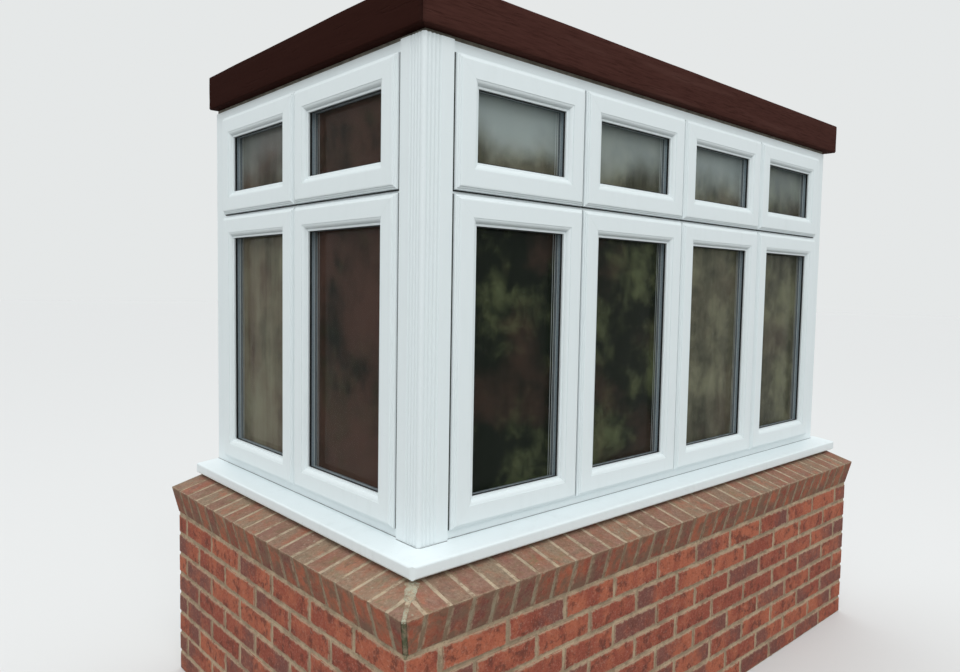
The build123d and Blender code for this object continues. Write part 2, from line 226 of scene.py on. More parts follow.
def box_lattice(counts):
    """Whole-number steps of the points on a box's skin along its lines, and the squares that join them."""
    steps, squares, base = [], [], 0
    for axis in range(3):
        first, second = (axis + 1) % 3, (axis + 2) % 3
        for end in (0, counts[axis] - 1):
            i, j = np.meshgrid(np.arange(counts[first]), np.arange(counts[second]), indexing="ij")
            face = np.zeros(i.shape + (3,), int)
            face[..., axis], face[..., first], face[..., second] = end, i, j
            group = grid_squares(*i.shape) + base
            squares.append(group if end else group[:, ::-1])
            steps.append(face.reshape(-1, 3))
            base += i.size
    points, places = np.unique(np.concatenate(steps), axis=0, return_inverse=True)
    return points, places.ravel()[np.concatenate(squares)]


def box_lines(*between):
    """Lines of a box's lattice: a share of its half size, and a share of the edge radius further in."""
    return np.array([(-1, 0), (-1, 1), *((share, 0) for share in between), (1, -1), (1, 0)], float)


BRICK_LINES = (box_lines(-0.45, 0.45), box_lines(0), box_lines(0))
PANE_LINES = (box_lines(0), box_lines(), box_lines())


def rounded_boxes(halves, radius, lines=BRICK_LINES):
    """Boxes with rounded edges about their own middles: every lattice point is drawn to the inner box of
    half size less the radius, and set off from it by the radius along the line between the two.

    Returns points (boxes, points, 3), squares, whether each point is on an edge, and how far it lies in
    from the box's faces along each axis.
    """
    steps, squares = box_lattice([len(line) for line in lines])
    shares = np.stack([line[steps[:, axis], 0] for axis, line in enumerate(lines)], axis=-1)
    insets = np.stack([line[steps[:, axis], 1] for axis, line in enumerate(lines)], axis=-1)
    halves = np.asarray(halves)[:, None, :]
    points = shares * halves + insets * radius
    inner = np.clip(points, radius - halves, halves - radius)
    out = points - inner
    length = np.linalg.norm(out, axis=-1, keepdims=True)
    edge = (np.abs(out) > radius * 0.5).sum(axis=-1) > 1
    return inner + out * radius / length, squares, edge.astype(float), halves - np.abs(points)


def add_boxes(name, side, points, squares, finish, slot, node, sharp, **values):
    """Joins boxes of one lattice, with points (boxes, points, 3) as run, depth and height, into one piece."""
    faces = squares + np.arange(len(points))[:, None, None] * points.shape[1]
    world = place(side, *np.moveaxis(points, -1, 0)).reshape(-1, 3)
    return add_piece(name, [(world, [faces.reshape(-1, 4)])], finish, slot, [node], sharp, **values)


def softened(corners, rounding, steps=4):
    """A closed outline whose corners are quadratic curves between points set off along their two sides.

    The rounding is a length for each corner, and takes at most 0.4 of the shorter side.
    """
    here = np.asarray(corners, float)
    back, ahead = np.roll(here, 1, axis=0) - here, np.roll(here, -1, axis=0) - here
    sides = np.stack((np.linalg.norm(back, axis=1), np.linalg.norm(ahead, axis=1)))
    reach = np.minimum(np.broadcast_to(rounding, len(here)), 0.4 * sides.min(axis=0))
    start = here + back * (reach / sides[0])[:, None]
    end = here + ahead * (reach / sides[1])[:, None]
    s = np.linspace(0, 1, steps)[None, :, None]
    curve = (1 - s) ** 2 * start[:, None] + 2 * s * (1 - s) * here[:, None] + s**2 * end[:, None]
    return curve.reshape(-1, 2)


def outline_normals(outline):
    """Outward unit normals of a closed outline, from the chord between the neighbours of each point."""
    chord = np.roll(outline, -1, axis=0) - np.roll(outline, 1, axis=0)
    normals = np.stack((chord[:, 1], -chord[:, 0]), axis=-1)
    normals /= np.linalg.norm(normals, axis=1, keepdims=True)
    x, y = outline.T
    area = (x * np.roll(y, -1) - np.roll(x, -1) * y).sum()
    return normals if area > 0 else -normals


def ring(side, rectangle, outline, groove=0.0, groove_width=1.5 * MM):
    """A section of (depth, inset) points carried round a rectangle, with mitred corners.

    Each corner has three stations: at the mitre, where the section sinks by the groove of the weld,
    and on both sides of it, where the section is whole.
    """
    low_run, high_run, low, high = rectangle
    middle = np.array([low_run + high_run, low + high]) / 2
    half = np.array([high_run - low_run, high - low]) / 2
    signs = np.array([(-1, -1), (1, -1), (1, 1), (-1, 1)], float)
    arriving = np.array([(0, -1), (1, 0), (0, 1), (-1, 0)], float)
    leaving = np.roll(arriving, -1, axis=0)
    sunk = outline - groove * outline_normals(outline)
    stations = []
    for section, shift in ((outline, -arriving), (sunk, 0 * arriving), (outline, leaving)):
        inset = section[None, :, 1:]
        spots = middle + signs[:, None] * (half - inset) + groove_width * shift[:, None]
        stations.append(place(side, spots[..., 0], section[:, 0], spots[..., 1]))
    points = np.stack(stations, axis=1).reshape(-1, 3)
    return points, [grid_squares(len(stations) * len(signs), len(outline), True, True)]


def light_outline(side, node):
    """Lowest and highest run, and lowest and highest height, of the sash that fills a light."""
    low, high = box_from_corner(node)
    axis = ALONG[side]
    return low[axis], high[axis], low[2], high[2]


# Finishes


class Nodes:
    """A node tree, and short calls that add a node and link what feeds it."""

    def __init__(self, tree):
        self.tree = tree

    def link(self, socket, value):
        """Links a value that is a socket, and sets any other."""
        if isinstance(value, bpy.types.NodeSocket):
            self.tree.links.new(value, socket)
        elif socket.type == "RGBA":
            socket.default_value = (*value[:3], 1.0)
        else:
            socket.default_value = value

    def add(self, kind, settings=None, **inputs):
        """A new node with its settings, and its inputs by title."""
        node = self.tree.nodes.new(kind)
        for title, value in (settings or {}).items():
            setattr(node, title, value)
        for title, value in inputs.items():
            self.link(node.inputs[title.replace("_", " ")], value)
        return node

    def maths(self, rule, *values):
        """One arithmetic rule on two values, or on more from left to right."""
        result = values[0]
        for value in values[1:]:
            node = self.add("ShaderNodeMath", {"operation": rule})
            self.link(node.inputs[0], result)
            self.link(node.inputs[1], value)
            result = node.outputs[0]
        return result

    def plus(self, *terms):
        """The sum of the terms."""
        return self.maths("ADD", *terms)

    def times(self, *factors):
        """The product of the factors."""
        return self.maths("MULTIPLY", *factors)

    def spread(self, value, low, high):
        """The value's stretch from low to high, brought to 0 to 1 with soft ends."""
        smooth = {"interpolation_type": "SMOOTHSTEP"}
        return self.add("ShaderNodeMapRange", smooth, Value=value, From_Min=low, From_Max=high).outputs[0]

    def between(self, share, low, high):
        """The value from low to high that a share from 0 to 1 stands for."""
        return self.add("ShaderNodeMapRange", Value=share, To_Min=low, To_Max=high).outputs[0]

    def band(self, value, low, high, soft):
        """One between two limits and zero outside them, with soft flanks."""
        rise = self.spread(value, low - soft, low + soft)
        return self.times(rise, self.spread(value, high + soft, high - soft))

    def swing(self, value, reach):
        """A noise about 0.5 turned into one about 0, as far as the reach on both sides."""
        return self.times(self.maths("SUBTRACT", value, 0.5), 2 * reach)

    def mix(self, share, first, second, kind="RGBA"):
        """Two colours, or two vectors, mixed by a share. The node has sockets of its own for each kind."""
        start, result = {"RGBA": (6, 2), "VECTOR": (4, 1)}[kind]
        node = self.add("ShaderNodeMix", {"data_type": kind})
        self.link(node.inputs[0], share)
        self.link(node.inputs[start], first)
        self.link(node.inputs[start + 1], second)
        return node.outputs[result]

    def parts(self, vector):
        """The three parts of a vector."""
        return self.add("ShaderNodeSeparateXYZ", Vector=vector).outputs

    def seen(self):
        """One for what the camera sees, also in a mirror or through glass, and zero for light on its way."""
        path = self.add("ShaderNodeLightPath").outputs
        return self.maths("MAXIMUM", *(path[f"Is {ray} Ray"] for ray in ("Camera", "Glossy", "Transmission")))


class Finish(Nodes):
    """One procedural finish: a shader, its colour laid on coat by coat, and its relief."""

    def __init__(self, name, colour, roughness=0.5, **sockets):
        self.material = bpy.data.materials.new(name)
        self.material.use_nodes = True
        super().__init__(self.material.node_tree)
        self.shader = self.tree.nodes["Principled BSDF"]
        self.here = self.add("ShaderNodeTexCoord").outputs["Object"]
        self.coat(colour)
        self.feed(Roughness=roughness, **sockets)

    def feed(self, **sockets):
        """Sets or links sockets of the shader by title."""
        for title, value in sockets.items():
            self.link(self.shader.inputs[title.replace("_", " ")], value)

    def coat(self, colour, *shares):
        """Lays a colour over what is there by the product of its shares, or all over where it has none."""
        self.colour = self.mix(self.times(*shares), self.colour, colour) if shares else colour
        self.feed(Base_Color=self.colour)

    def relief(self, *layers):
        """Bumps on top of one another, each (height, depth in metres, strength)."""
        below = None
        for height, depth, strength in layers:
            bump = self.add("ShaderNodeBump", Height=height, Distance=depth, Strength=strength)
            if below:
                self.link(bump.inputs["Normal"], below)
            below = bump.outputs[0]
        self.feed(Normal=below)

    def stretched(self, *scale):
        """The object's coordinates scaled apart along their axes."""
        return self.add("ShaderNodeMapping", Vector=self.here, Scale=scale).outputs[0]

    def noise(self, size, detail=4.0, rough=0.55, at=None, warp=0.0):
        """Noise from 0 to 1 whose features are about one size in metres."""
        return self.add(
            "ShaderNodeTexNoise", Vector=at or self.here, Scale=1 / size, Detail=detail, Roughness=rough,
            Distortion=warp
        ).outputs[0]

    def patches(self, low, high, size, **noise):
        """Noise spread from low to high: the nearer the two are, the harder the patches' edges."""
        return self.spread(self.noise(size, **noise), low, high)

    def cells(self, size, output="Distance"):
        """Distance or colour of scattered cells of about one size."""
        return self.add("ShaderNodeTexVoronoi", Vector=self.here, Scale=1 / size).outputs[output]

    def attribute(self, title, output="Fac"):
        """A value, or a vector, that the mesh keeps for each point."""
        return self.add("ShaderNodeAttribute", {"attribute_name": title}).outputs[output]

    def facing_up(self):
        """How far the surface faces up, from -1 to 1."""
        return self.parts(self.add("ShaderNodeNewGeometry").outputs["Normal"])[2]

    def from_corner(self):
        """The place measured from the post's outer corner."""
        return [self.maths("SUBTRACT", part, start) for part, start in zip(self.parts(self.here), CORNER)]

    def run_and_height(self):
        """Run past the post's corner on the side of the place, and height above the frame's foot."""
        x, y, height = self.from_corner()
        return self.maths("MAXIMUM", x, y), height


def brick_finish(name, look):
    """Sand-faced fired clay: a tone for each brick, upright bands of firing colour, burnt ends, mottling,
    specks, and mortar smeared over the edges of the face.
    """
    paint = Finish(name, look.red, roughness=0.92, Specular_IOR_Level=0.2)
    banding = paint.noise(0.06, detail=2, rough=0.5, at=paint.stretched(1, 1, 0.5))
    mottle = paint.noise(0.024, detail=6, rough=0.72, warp=0.5)
    lively = paint.plus(paint.attribute("tone"), paint.swing(banding, 1.3), paint.swing(mottle, 0.8))
    paint.coat(look.orange, paint.spread(lively, 0.0, 1.0))
    dark = paint.plus(paint.noise(0.04, detail=5, rough=0.65, warp=0.3), paint.swing(mottle, 0.2))
    paint.coat(look.maroon, paint.spread(dark, 0.50, 0.66), 0.8)
    scorch = paint.plus(paint.attribute("burnt"), paint.swing(paint.noise(0.05, detail=6, rough=0.7), 0.9))
    paint.coat(look.purple, paint.spread(scorch, 0.3, 0.95), 0.8)
    sand = paint.noise(0.007, detail=5, rough=0.8)
    paint.coat(look.speck, paint.spread(sand, 0.53, 0.68), 0.7)
    paint.coat(look.bloom, paint.spread(sand, 0.46, 0.32), 0.55)
    paint.coat(look.bloom, paint.patches(0.54, 0.72, 0.016, detail=6, rough=0.8), 0.5)
    across, deep, high = paint.parts(paint.attribute("inset", "Vector"))
    lesser, greater = (paint.maths(rule, across, high) for rule in ("MINIMUM", "MAXIMUM"))
    rim = paint.maths("MAXIMUM", lesser, paint.maths("MINIMUM", greater, deep))
    rim = paint.plus(rim, paint.swing(paint.noise(0.020, detail=6, rough=0.75), 17 * MM))
    paint.coat(look.mortar_smear, paint.spread(rim, 7 * MM, 0.0), look.smear)
    return paint


def finish_wall_bricks(look):
    """The wall bricks' finish, with drag creases along the face and a coarse sanded skin."""
    paint = brick_finish("red_facing_brick", look)
    creases = paint.noise(0.012, detail=5, rough=0.7, at=paint.stretched(0.6, 0.6, 2.2), warp=0.4)
    grit = paint.noise(0.0022, detail=3, rough=0.7)
    lumps = paint.noise(0.03, detail=3)
    paint.relief((lumps, 1.6 * MM, 0.7), (creases, 1.8 * MM, 0.8), (grit, 0.5 * MM, 0.8))
    return paint.material


def finish_sill_bricks(look):
    """Bricks on edge: red header faces, and tops weathered to brown and grey with pale and green growth."""
    paint = brick_finish("weathered_sill_brick", look)
    fresh = paint.colour
    upward = paint.spread(paint.facing_up(), 0.45, 0.9)
    patch = paint.noise(0.04, detail=6, rough=0.7)
    pitted = paint.noise(0.009, detail=6, rough=0.8)
    paint.coat(look.weather_brown)
    paint.coat(look.weather_pink, paint.spread(patch, 0.36, 0.64))
    paint.coat(look.weather_grey, paint.spread(paint.plus(paint.attribute("tone"), patch), 0.85, 1.45))
    paint.coat(look.weather_dark, paint.spread(pitted, 0.52, 0.66), 0.75)
    paint.coat(look.weather_pale, paint.spread(pitted, 0.47, 0.34), 0.6)
    soil = paint.colour
    paint.coat(fresh)
    soiled = paint.patches(0.3, 0.62, 0.07, detail=5, rough=0.65)
    paint.coat(soil, upward, paint.plus(paint.times(soiled, 0.5), 0.38))
    paint.coat(look.weather_brown, paint.maths("SUBTRACT", 1.0, upward), paint.spread(patch, 0.38, 0.6), 0.65)
    paint.coat(look.moss, paint.patches(0.54, 0.7, 0.05, detail=6, rough=0.75, warp=0.5), upward, 0.6)
    lichen = paint.spread(paint.cells(0.022), 0.2, 0.08)
    paint.coat(look.lichen, lichen, paint.patches(0.5, 0.62, 0.12, detail=3), upward, 0.6)
    creases = paint.noise(0.012, detail=6, rough=0.75, warp=0.3)
    paint.relief((creases, 3 * MM, 0.9), (paint.noise(0.0025, detail=3, rough=0.7), 0.5 * MM, 0.8))
    return paint.material


def finish_mortar(look, name="lime_mortar", pale=0.0, faded=0.0):
    """Sandy mortar: buff with grey patches, dark grit and small pits, and moss low on the sill's corner.

    Pale is the share of lichen, and faded how far upright faces take the colour of the soiled brick.
    """
    paint = Finish(name, look.mortar, roughness=0.95, Specular_IOR_Level=0.15)
    patch = paint.noise(0.06, detail=6, rough=0.65)
    cloud = paint.noise(0.018, detail=5, rough=0.75)
    upward = paint.spread(paint.facing_up(), 0.45, 0.9)
    paint.coat(look.mortar_grey, paint.spread(patch, 0.36, 0.62))
    paint.coat(look.mortar_dark, paint.spread(cloud, 0.52, 0.7), 0.6)
    if pale:
        paint.coat(look.lichen, paint.patches(0.38, 0.56, 0.012, detail=6, rough=0.75), pale)
        paint.coat(look.mortar_dark, paint.patches(0.54, 0.60, 0.009, detail=5, rough=0.8), pale, 0.9)
    if faded:
        upright = paint.maths("SUBTRACT", 1.0, upward)
        paint.coat(look.weather_brown, upright, paint.spread(patch, 0.58, 0.44), faded)
    washed = paint.patches(0.38, 0.58, 0.045, detail=5, rough=0.7)
    paint.coat(look.mortar_pink, upward, washed, 0.75 - 0.6 * pale)
    paint.coat(look.weather_brown, upward, paint.patches(0.5, 0.62, 0.035, detail=5, rough=0.7), 0.8)
    grit = paint.noise(0.0018, detail=2)
    paint.coat(look.speck, paint.spread(grit, 0.58, 0.7), 0.5)
    run, height = paint.run_and_height()
    near = paint.spread(run, 50 * MM - NOSE_OUT, 28 * MM - NOSE_OUT)
    low = paint.spread(height, NOSE_HEIGHT, NOSE_HEIGHT - 12 * MM)
    paint.coat(look.moss_dark, near, low, paint.spread(cloud, 0.62, 0.42), 0.9)
    paint.relief((paint.noise(0.006, detail=5, rough=0.75), 1.8 * MM, 0.9), (grit, 0.5 * MM, 0.7))
    return paint.material


def finish_plastic(look, name="white_upvc", colour=None, roughness=0.3, dirt=1.0, fluted=False):
    """White plastic: a faint cool tint, soft gloss, slight waviness, washed-down dust, painted shade on faces
    that look down.

    On the fluted cover, painted shade lies in the flutes, stronger higher up: a cosine wave of the distance
    from its arris.
    """
    clean = colour or look.white
    paint = Finish(name, clean)
    soft = paint.noise(0.25, detail=3)
    streaks = paint.patches(0.45, 0.8, 0.03, detail=4, rough=0.6, at=paint.stretched(1, 1, 0.25))
    dusty = [share * part for share, part in zip((0.86, 0.87, 0.86), clean)]
    paint.coat(dusty, streaks, paint.spread(soft, 0.3, 0.8), 0.35 * dirt)
    paint.coat(look.grime, paint.patches(0.70, 0.76, 0.006, detail=3, rough=0.6), 0.3 * dirt)
    # Painted shade: faces that look down are greyed, as they lie in shade.
    paint.coat(look.painted_shade, paint.spread(paint.facing_up(), -0.1, -0.7), 0.4)
    if fluted:
        # Painted shade in the flutes, rising with height.
        run, height = paint.run_and_height()
        turns = paint.times(paint.maths("SUBTRACT", run, FLUTE_FIRST), 2 * pi / FLUTE_PITCH)
        hollow = paint.spread(paint.maths("COSINE", turns, 0.0), 0.0, 0.9)
        among = paint.band(run, FLUTE_FIRST / 2, FLUTES_END, 1 * MM)
        higher = paint.times(paint.spread(height, 0.5, 1.1), 0.11)
        paint.coat(look.painted_shade, hollow, among, paint.plus(higher, 0.04))
    paint.feed(Roughness=paint.between(soft, roughness - 0.05, roughness + 0.1))
    wavy, skin = paint.noise(0.05, detail=2), paint.noise(0.0015, detail=2)
    paint.relief((wavy, 0.12 * MM, 0.5), (skin, 0.02 * MM, 0.4))
    return paint.material


def finish_timber(look):
    """Old dark-stained timber: worn paint over grain that runs along the beam, with drying cracks.

    The left beam takes the dark stain colour nearly all over: painted shade, as for a beam deeper in shelter.
    """
    paint = Finish("stained_beam", look.stain_dark_and_shade, Specular_IOR_Level=0.01)
    left = paint.attribute("turned")
    along = paint.mix(left, paint.stretched(0.08, 1, 1), paint.stretched(1, 0.08, 1), "VECTOR")
    grain = paint.noise(0.006, detail=6, rough=0.7, at=along)
    broad = paint.noise(0.04, detail=4, at=along)
    paint.coat(look.stain, paint.spread(grain, 0.05, 0.65))
    paint.coat(look.stain_worn, paint.spread(broad, 0.5, 0.75), 0.6)
    # Painted shade: the left beam is darkened nearly all over.
    paint.coat(look.stain_dark_and_shade, left, 0.9)
    cracks = paint.patches(0.33, 0.4, 0.012, detail=3, at=along)
    paint.relief((grain, 0.7 * MM, 0.8), (cracks, 1.2 * MM, 0.7))
    paint.feed(Roughness=paint.between(broad, 0.65, 0.9))
    return paint.material


def float_glass(look, name, colour, alpha):
    """Smooth glass of one colour and opacity."""
    return Finish(name, colour, roughness=0.03, Alpha=alpha, Specular_IOR_Level=look.glass_gloss)


def finish_inner_pane(look, side):
    """Near-opaque glass painted with the shade of a dark room behind it, and with painted reflections in
    clouds of olive, browner on the warmer side.

    Lighter panes carry painted room light, paler in upright folds, and a grey painted sky reflection at the
    top of a fanlight. Near its edge a pane carries painted highlights: the bright edges of the bead behind
    it.
    """
    warmth = PANE_WARMTH[side]
    # The base colour is painted shade: the dark of the room behind the pane.
    paint = float_glass(look, f"{side}_inner_pane", look.glass_room_shade, look.inner_alpha)
    light = paint.attribute("tone")
    broad = paint.noise(0.26, detail=3, rough=0.5, warp=0.2)
    leafy = paint.noise(0.07, detail=5, rough=0.6, warp=0.3)
    cloud = paint.plus(paint.swing(broad, 1.0), paint.swing(leafy, 0.5))
    # Painted reflections: olive clouds, and brown ones on the warmer side.
    paint.coat(look.reflection_olive, paint.spread(cloud, -0.1, 0.5), 1.0 - 0.7 * warmth)
    warm = paint.patches(0.5 - 0.3 * warmth, 0.72 - 0.12 * warmth, 0.22, detail=4, rough=0.55, warp=0.2)
    paint.coat(look.reflection_brown, warm, 0.35 + 0.55 * warmth)
    dim = paint.plus(paint.times(paint.spread(cloud, -0.5, 0.45), 0.65 - 0.2 * warmth), 0.15)
    folds = paint.patches(0.3, 0.7, 0.05, detail=3, at=paint.stretched(1, 1, 0.08))
    # Painted room light: lighter panes, paler in upright folds.
    paint.coat(look.painted_room_light, light, paint.plus(dim, paint.times(folds, 0.2 + 0.2 * warmth)))
    # Painted sky reflection at the top of a fanlight.
    height = paint.plus(paint.from_corner()[2], paint.swing(broad, 0.12))
    paint.coat(look.painted_sky_reflection, paint.spread(height, 0.99, 1.15), light, 0.9)
    # Painted highlights: two bright lines for the edges of the bead behind the pane.
    inset = paint.attribute("inset")
    near = paint.band(inset, 14.5 * MM, 17 * MM, 0.8 * MM)
    far = paint.times(paint.band(inset, 24 * MM, 26 * MM, 0.8 * MM), 0.7)
    paint.coat(look.painted_bright_line, paint.maths("MAXIMUM", near, far), 0.8)
    return paint.material


def finish_rubber(look):
    """Black rubber seal, greyed by dust in patches."""
    paint = Finish("black_seal", look.seal, roughness=0.65, Specular_IOR_Level=0.3)
    paint.coat(look.dusty_seal_and_slot_shade, paint.patches(0.45, 0.75, 0.02), 0.5)
    paint.relief((paint.noise(0.002, detail=2), 0.1 * MM, 0.6))
    return paint.material


def finish_spacer(look, side):
    """Grey-blue spacer bar: black sealant on both its edges, a painted highlight on its crease and a painted
    shaded slot along it.
    """
    paint = Finish(f"{side}_spacer_bar", look.spacer, roughness=0.45, Metallic=0.1)
    paint.coat(look.spacer_light, paint.patches(0.3, 0.7, 0.004, detail=3))
    depth = paint.from_corner()[INWARD[side]]
    # Painted highlight: the bright crease along the bar.
    paint.coat(look.painted_bright_line, paint.band(depth, 23.5 * MM, 25 * MM, 0.3 * MM))
    # Painted shade: the dark slot along the bar.
    paint.coat(look.dusty_seal_and_slot_shade, paint.band(depth, 25.5 * MM, 28.5 * MM, 0.5 * MM))
    for inside, edge in ((14.2, 13.4), (30.0, 30.8)):
        paint.coat(look.seal, paint.spread(depth, inside * MM, edge * MM))
    paint.relief((paint.spread(paint.cells(0.006), 0.16, 0.22), 0.2 * MM, 0.6))
    return paint.material


def finish_sealant(look):
    """Grey sealant with dark marks."""
    paint = Finish("grey_sealant", look.sealant, roughness=0.6, Specular_IOR_Level=0.3)
    paint.coat(look.dusty_seal_and_slot_shade, paint.patches(0.56, 0.66, 0.02, detail=5, rough=0.7))
    paint.relief((paint.noise(0.004, detail=3), 0.2 * MM, 0.5))
    return paint.material


def finish_tube(look):
    """Galvanised steel with spangles of two greys."""
    paint = Finish("galvanised_post", look.zinc, roughness=0.45, Metallic=0.9)
    paint.coat(look.zinc_light, paint.cells(0.012, "Color"))
    return paint.material


def finish_head_seal(look):
    """Dusty foam that fills the gap under the beam."""
    paint = Finish("head_seal_foam", look.head_seal, roughness=0.8)
    paint.coat(look.head_seal_light, paint.patches(0.3, 0.7, 0.03))
    paint.relief((paint.noise(0.006), 1 * MM, 0.8))
    return paint.material


def finish_plaster(look):
    """Painted plaster with trowel sweeps and fine pores."""
    paint = Finish("painted_plaster", look.plaster, roughness=0.85)
    sweep = paint.noise(0.16, warp=0.8)
    paint.coat(look.plaster_shade, paint.spread(sweep, 0.3, 0.7))
    paint.relief((sweep, 0.8 * MM, 0.4), (paint.noise(0.004, detail=3), 0.2 * MM, 0.5))
    return paint.material


def finish_insulation(look):
    """Foam board: yellow cells at the cut ends."""
    paint = Finish("cavity_foam", look.foam_dark, roughness=0.9)
    cell = paint.cells(0.004)
    paint.coat(look.foam, paint.spread(cell, 0.1, 0.6))
    paint.relief((cell, 0.6 * MM, 0.7))
    return paint.material


def dress(node, finish, bevel=0.0, angle=30.0):
    """Gives a construction piece its finish, and softens its edges above an angle where a bevel is named."""
    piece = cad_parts[node]
    for index in range(len(piece.data.materials)):
        piece.data.materials[index] = finish
    if bevel:
        weld = piece.modifiers.new("joined", "WELD")
        weld.merge_threshold = 1e-5
        soft = piece.modifiers.new("soft edges", "BEVEL")
        soft.width = bevel
        soft.segments = 2
        soft.limit_method = "ANGLE"
        soft.angle_limit = radians(angle)
        soft.harden_normals = False


# Sizes and colours that a user would change


def length(name, text, default):
    """A length in metres."""
    return bpy.props.FloatProperty(name=name, description=text, default=default, unit="LENGTH", precision=4)


def colour(name, text, linear):
    """A colour, in linear values."""
    return bpy.props.FloatVectorProperty(name=name, description=text, default=linear, subtype="COLOR")


def amount(name, text, default):
    """A share or a plain number."""
    return bpy.props.FloatProperty(name=name, description=text, default=default)


def angle(name, text, degrees):
    """An angle, from its degrees."""
    return bpy.props.FloatProperty(name=name, description=text, default=radians(degrees), subtype="ANGLE")


class BrickworkSettings(bpy.types.PropertyGroup):
    """Bricks and mortar of the wall and of the sill on it."""

    brick_length: length("Brick length", "Stretcher length", 0.215)
    brick_height: length("Brick height", "Height of a brick laid flat", 0.065)
    brick_width: length("Brick width", "Header width", 0.1025)
    joint: length("Joint", "Mortar joint", 0.010)
    recess: length("Joint recess", "How far the mortar lies behind the brick faces", 0.0035)
    radius: length("Arris radius", "Rounding of a brick's edges", 0.0035)
    wander: length("Wander", "How far a brick is off its true place", 0.0010)
    lean: amount("Lean", "How far a brick is off level, as a slope", 0.0025)
    wear: length("Wear", "How far the bricks' faces are off flat", 0.0005)
    sunk: length("Sunk", "How far a sill brick lies under its true place at most", 0.0016)
    held_back: length("Held back", "How far a sill brick lies behind its true place at most", 0.0015)
    sill_length: length("Sill brick length", "Length of a sill brick up its slope", 0.172)
    sill_first: length("First sill brick", "Length of the sill brick beside the closer up its slope", 0.116)
    closer: length("Corner closer", "Length of the cut bricks on both sides of the sill's corner", 0.068)
    mitre: length("Mitre", "How far the cut bricks stay off the sill's corner line", 0.004)
    arris_cut: length("Cut arris", "How far the closers stand back from the sill's corner", 0.010)
    seed: bpy.props.IntProperty(name="Seed", description="Draws the bricks' tones and places", default=11)
    red: colour("Red", "Most of a brick", (0.300, 0.079, 0.051))
    orange: colour("Orange", "Lighter bricks", (0.445, 0.134, 0.074))
    maroon: colour("Maroon", "Darker blotches", (0.135, 0.045, 0.033))
    purple: colour("Purple", "Burnt bricks and ends", (0.175, 0.078, 0.066))
    speck: colour("Specks", "Dark grit", (0.085, 0.041, 0.030))
    bloom: colour("Bloom", "Pale dust on faces and edges", (0.49, 0.285, 0.215))
    weather_brown: colour("Weathered brown", "Tops of the sill bricks", (0.235, 0.152, 0.100))
    weather_pink: colour("Weathered pink", "Tops of the sill bricks", (0.300, 0.175, 0.130))
    weather_grey: colour("Weathered grey", "Tops of the sill bricks", (0.260, 0.210, 0.145))
    weather_dark: colour("Dark pits", "Tops of the sill bricks", (0.110, 0.072, 0.050))
    weather_pale: colour("Pale pits", "Tops of the sill bricks", (0.46, 0.34, 0.25))
    moss: colour("Green growth", "On the sill", (0.18, 0.17, 0.085))
    moss_dark: colour("Dark moss", "On the sill's corner", (0.095, 0.115, 0.060))
    lichen: colour("Lichen", "On the corner mortar", (0.40, 0.41, 0.31))
    mortar: colour("Mortar", "Sandy mortar", (0.52, 0.395, 0.265))
    mortar_grey: colour("Grey mortar", "Damp and older mortar", (0.335, 0.252, 0.170))
    mortar_dark: colour("Dark mortar", "Dirt in the joints", (0.200, 0.143, 0.092))
    mortar_pink: colour("Washed mortar", "Mortar on the sloping sill", (0.51, 0.405, 0.30))
    mortar_smear: colour("Smeared mortar", "Thin mortar on the bricks' edges", (0.40, 0.29, 0.20))
    smear: amount("Smear", "How much mortar covers the bricks' edges", 0.85)
    burnt_all_over: amount("Burnt bricks", "Share of the bricks that are burnt all over", 0.14)
    burnt_at_one_end: amount("Burnt ends", "Share of the bricks that are burnt at one end", 0.22)


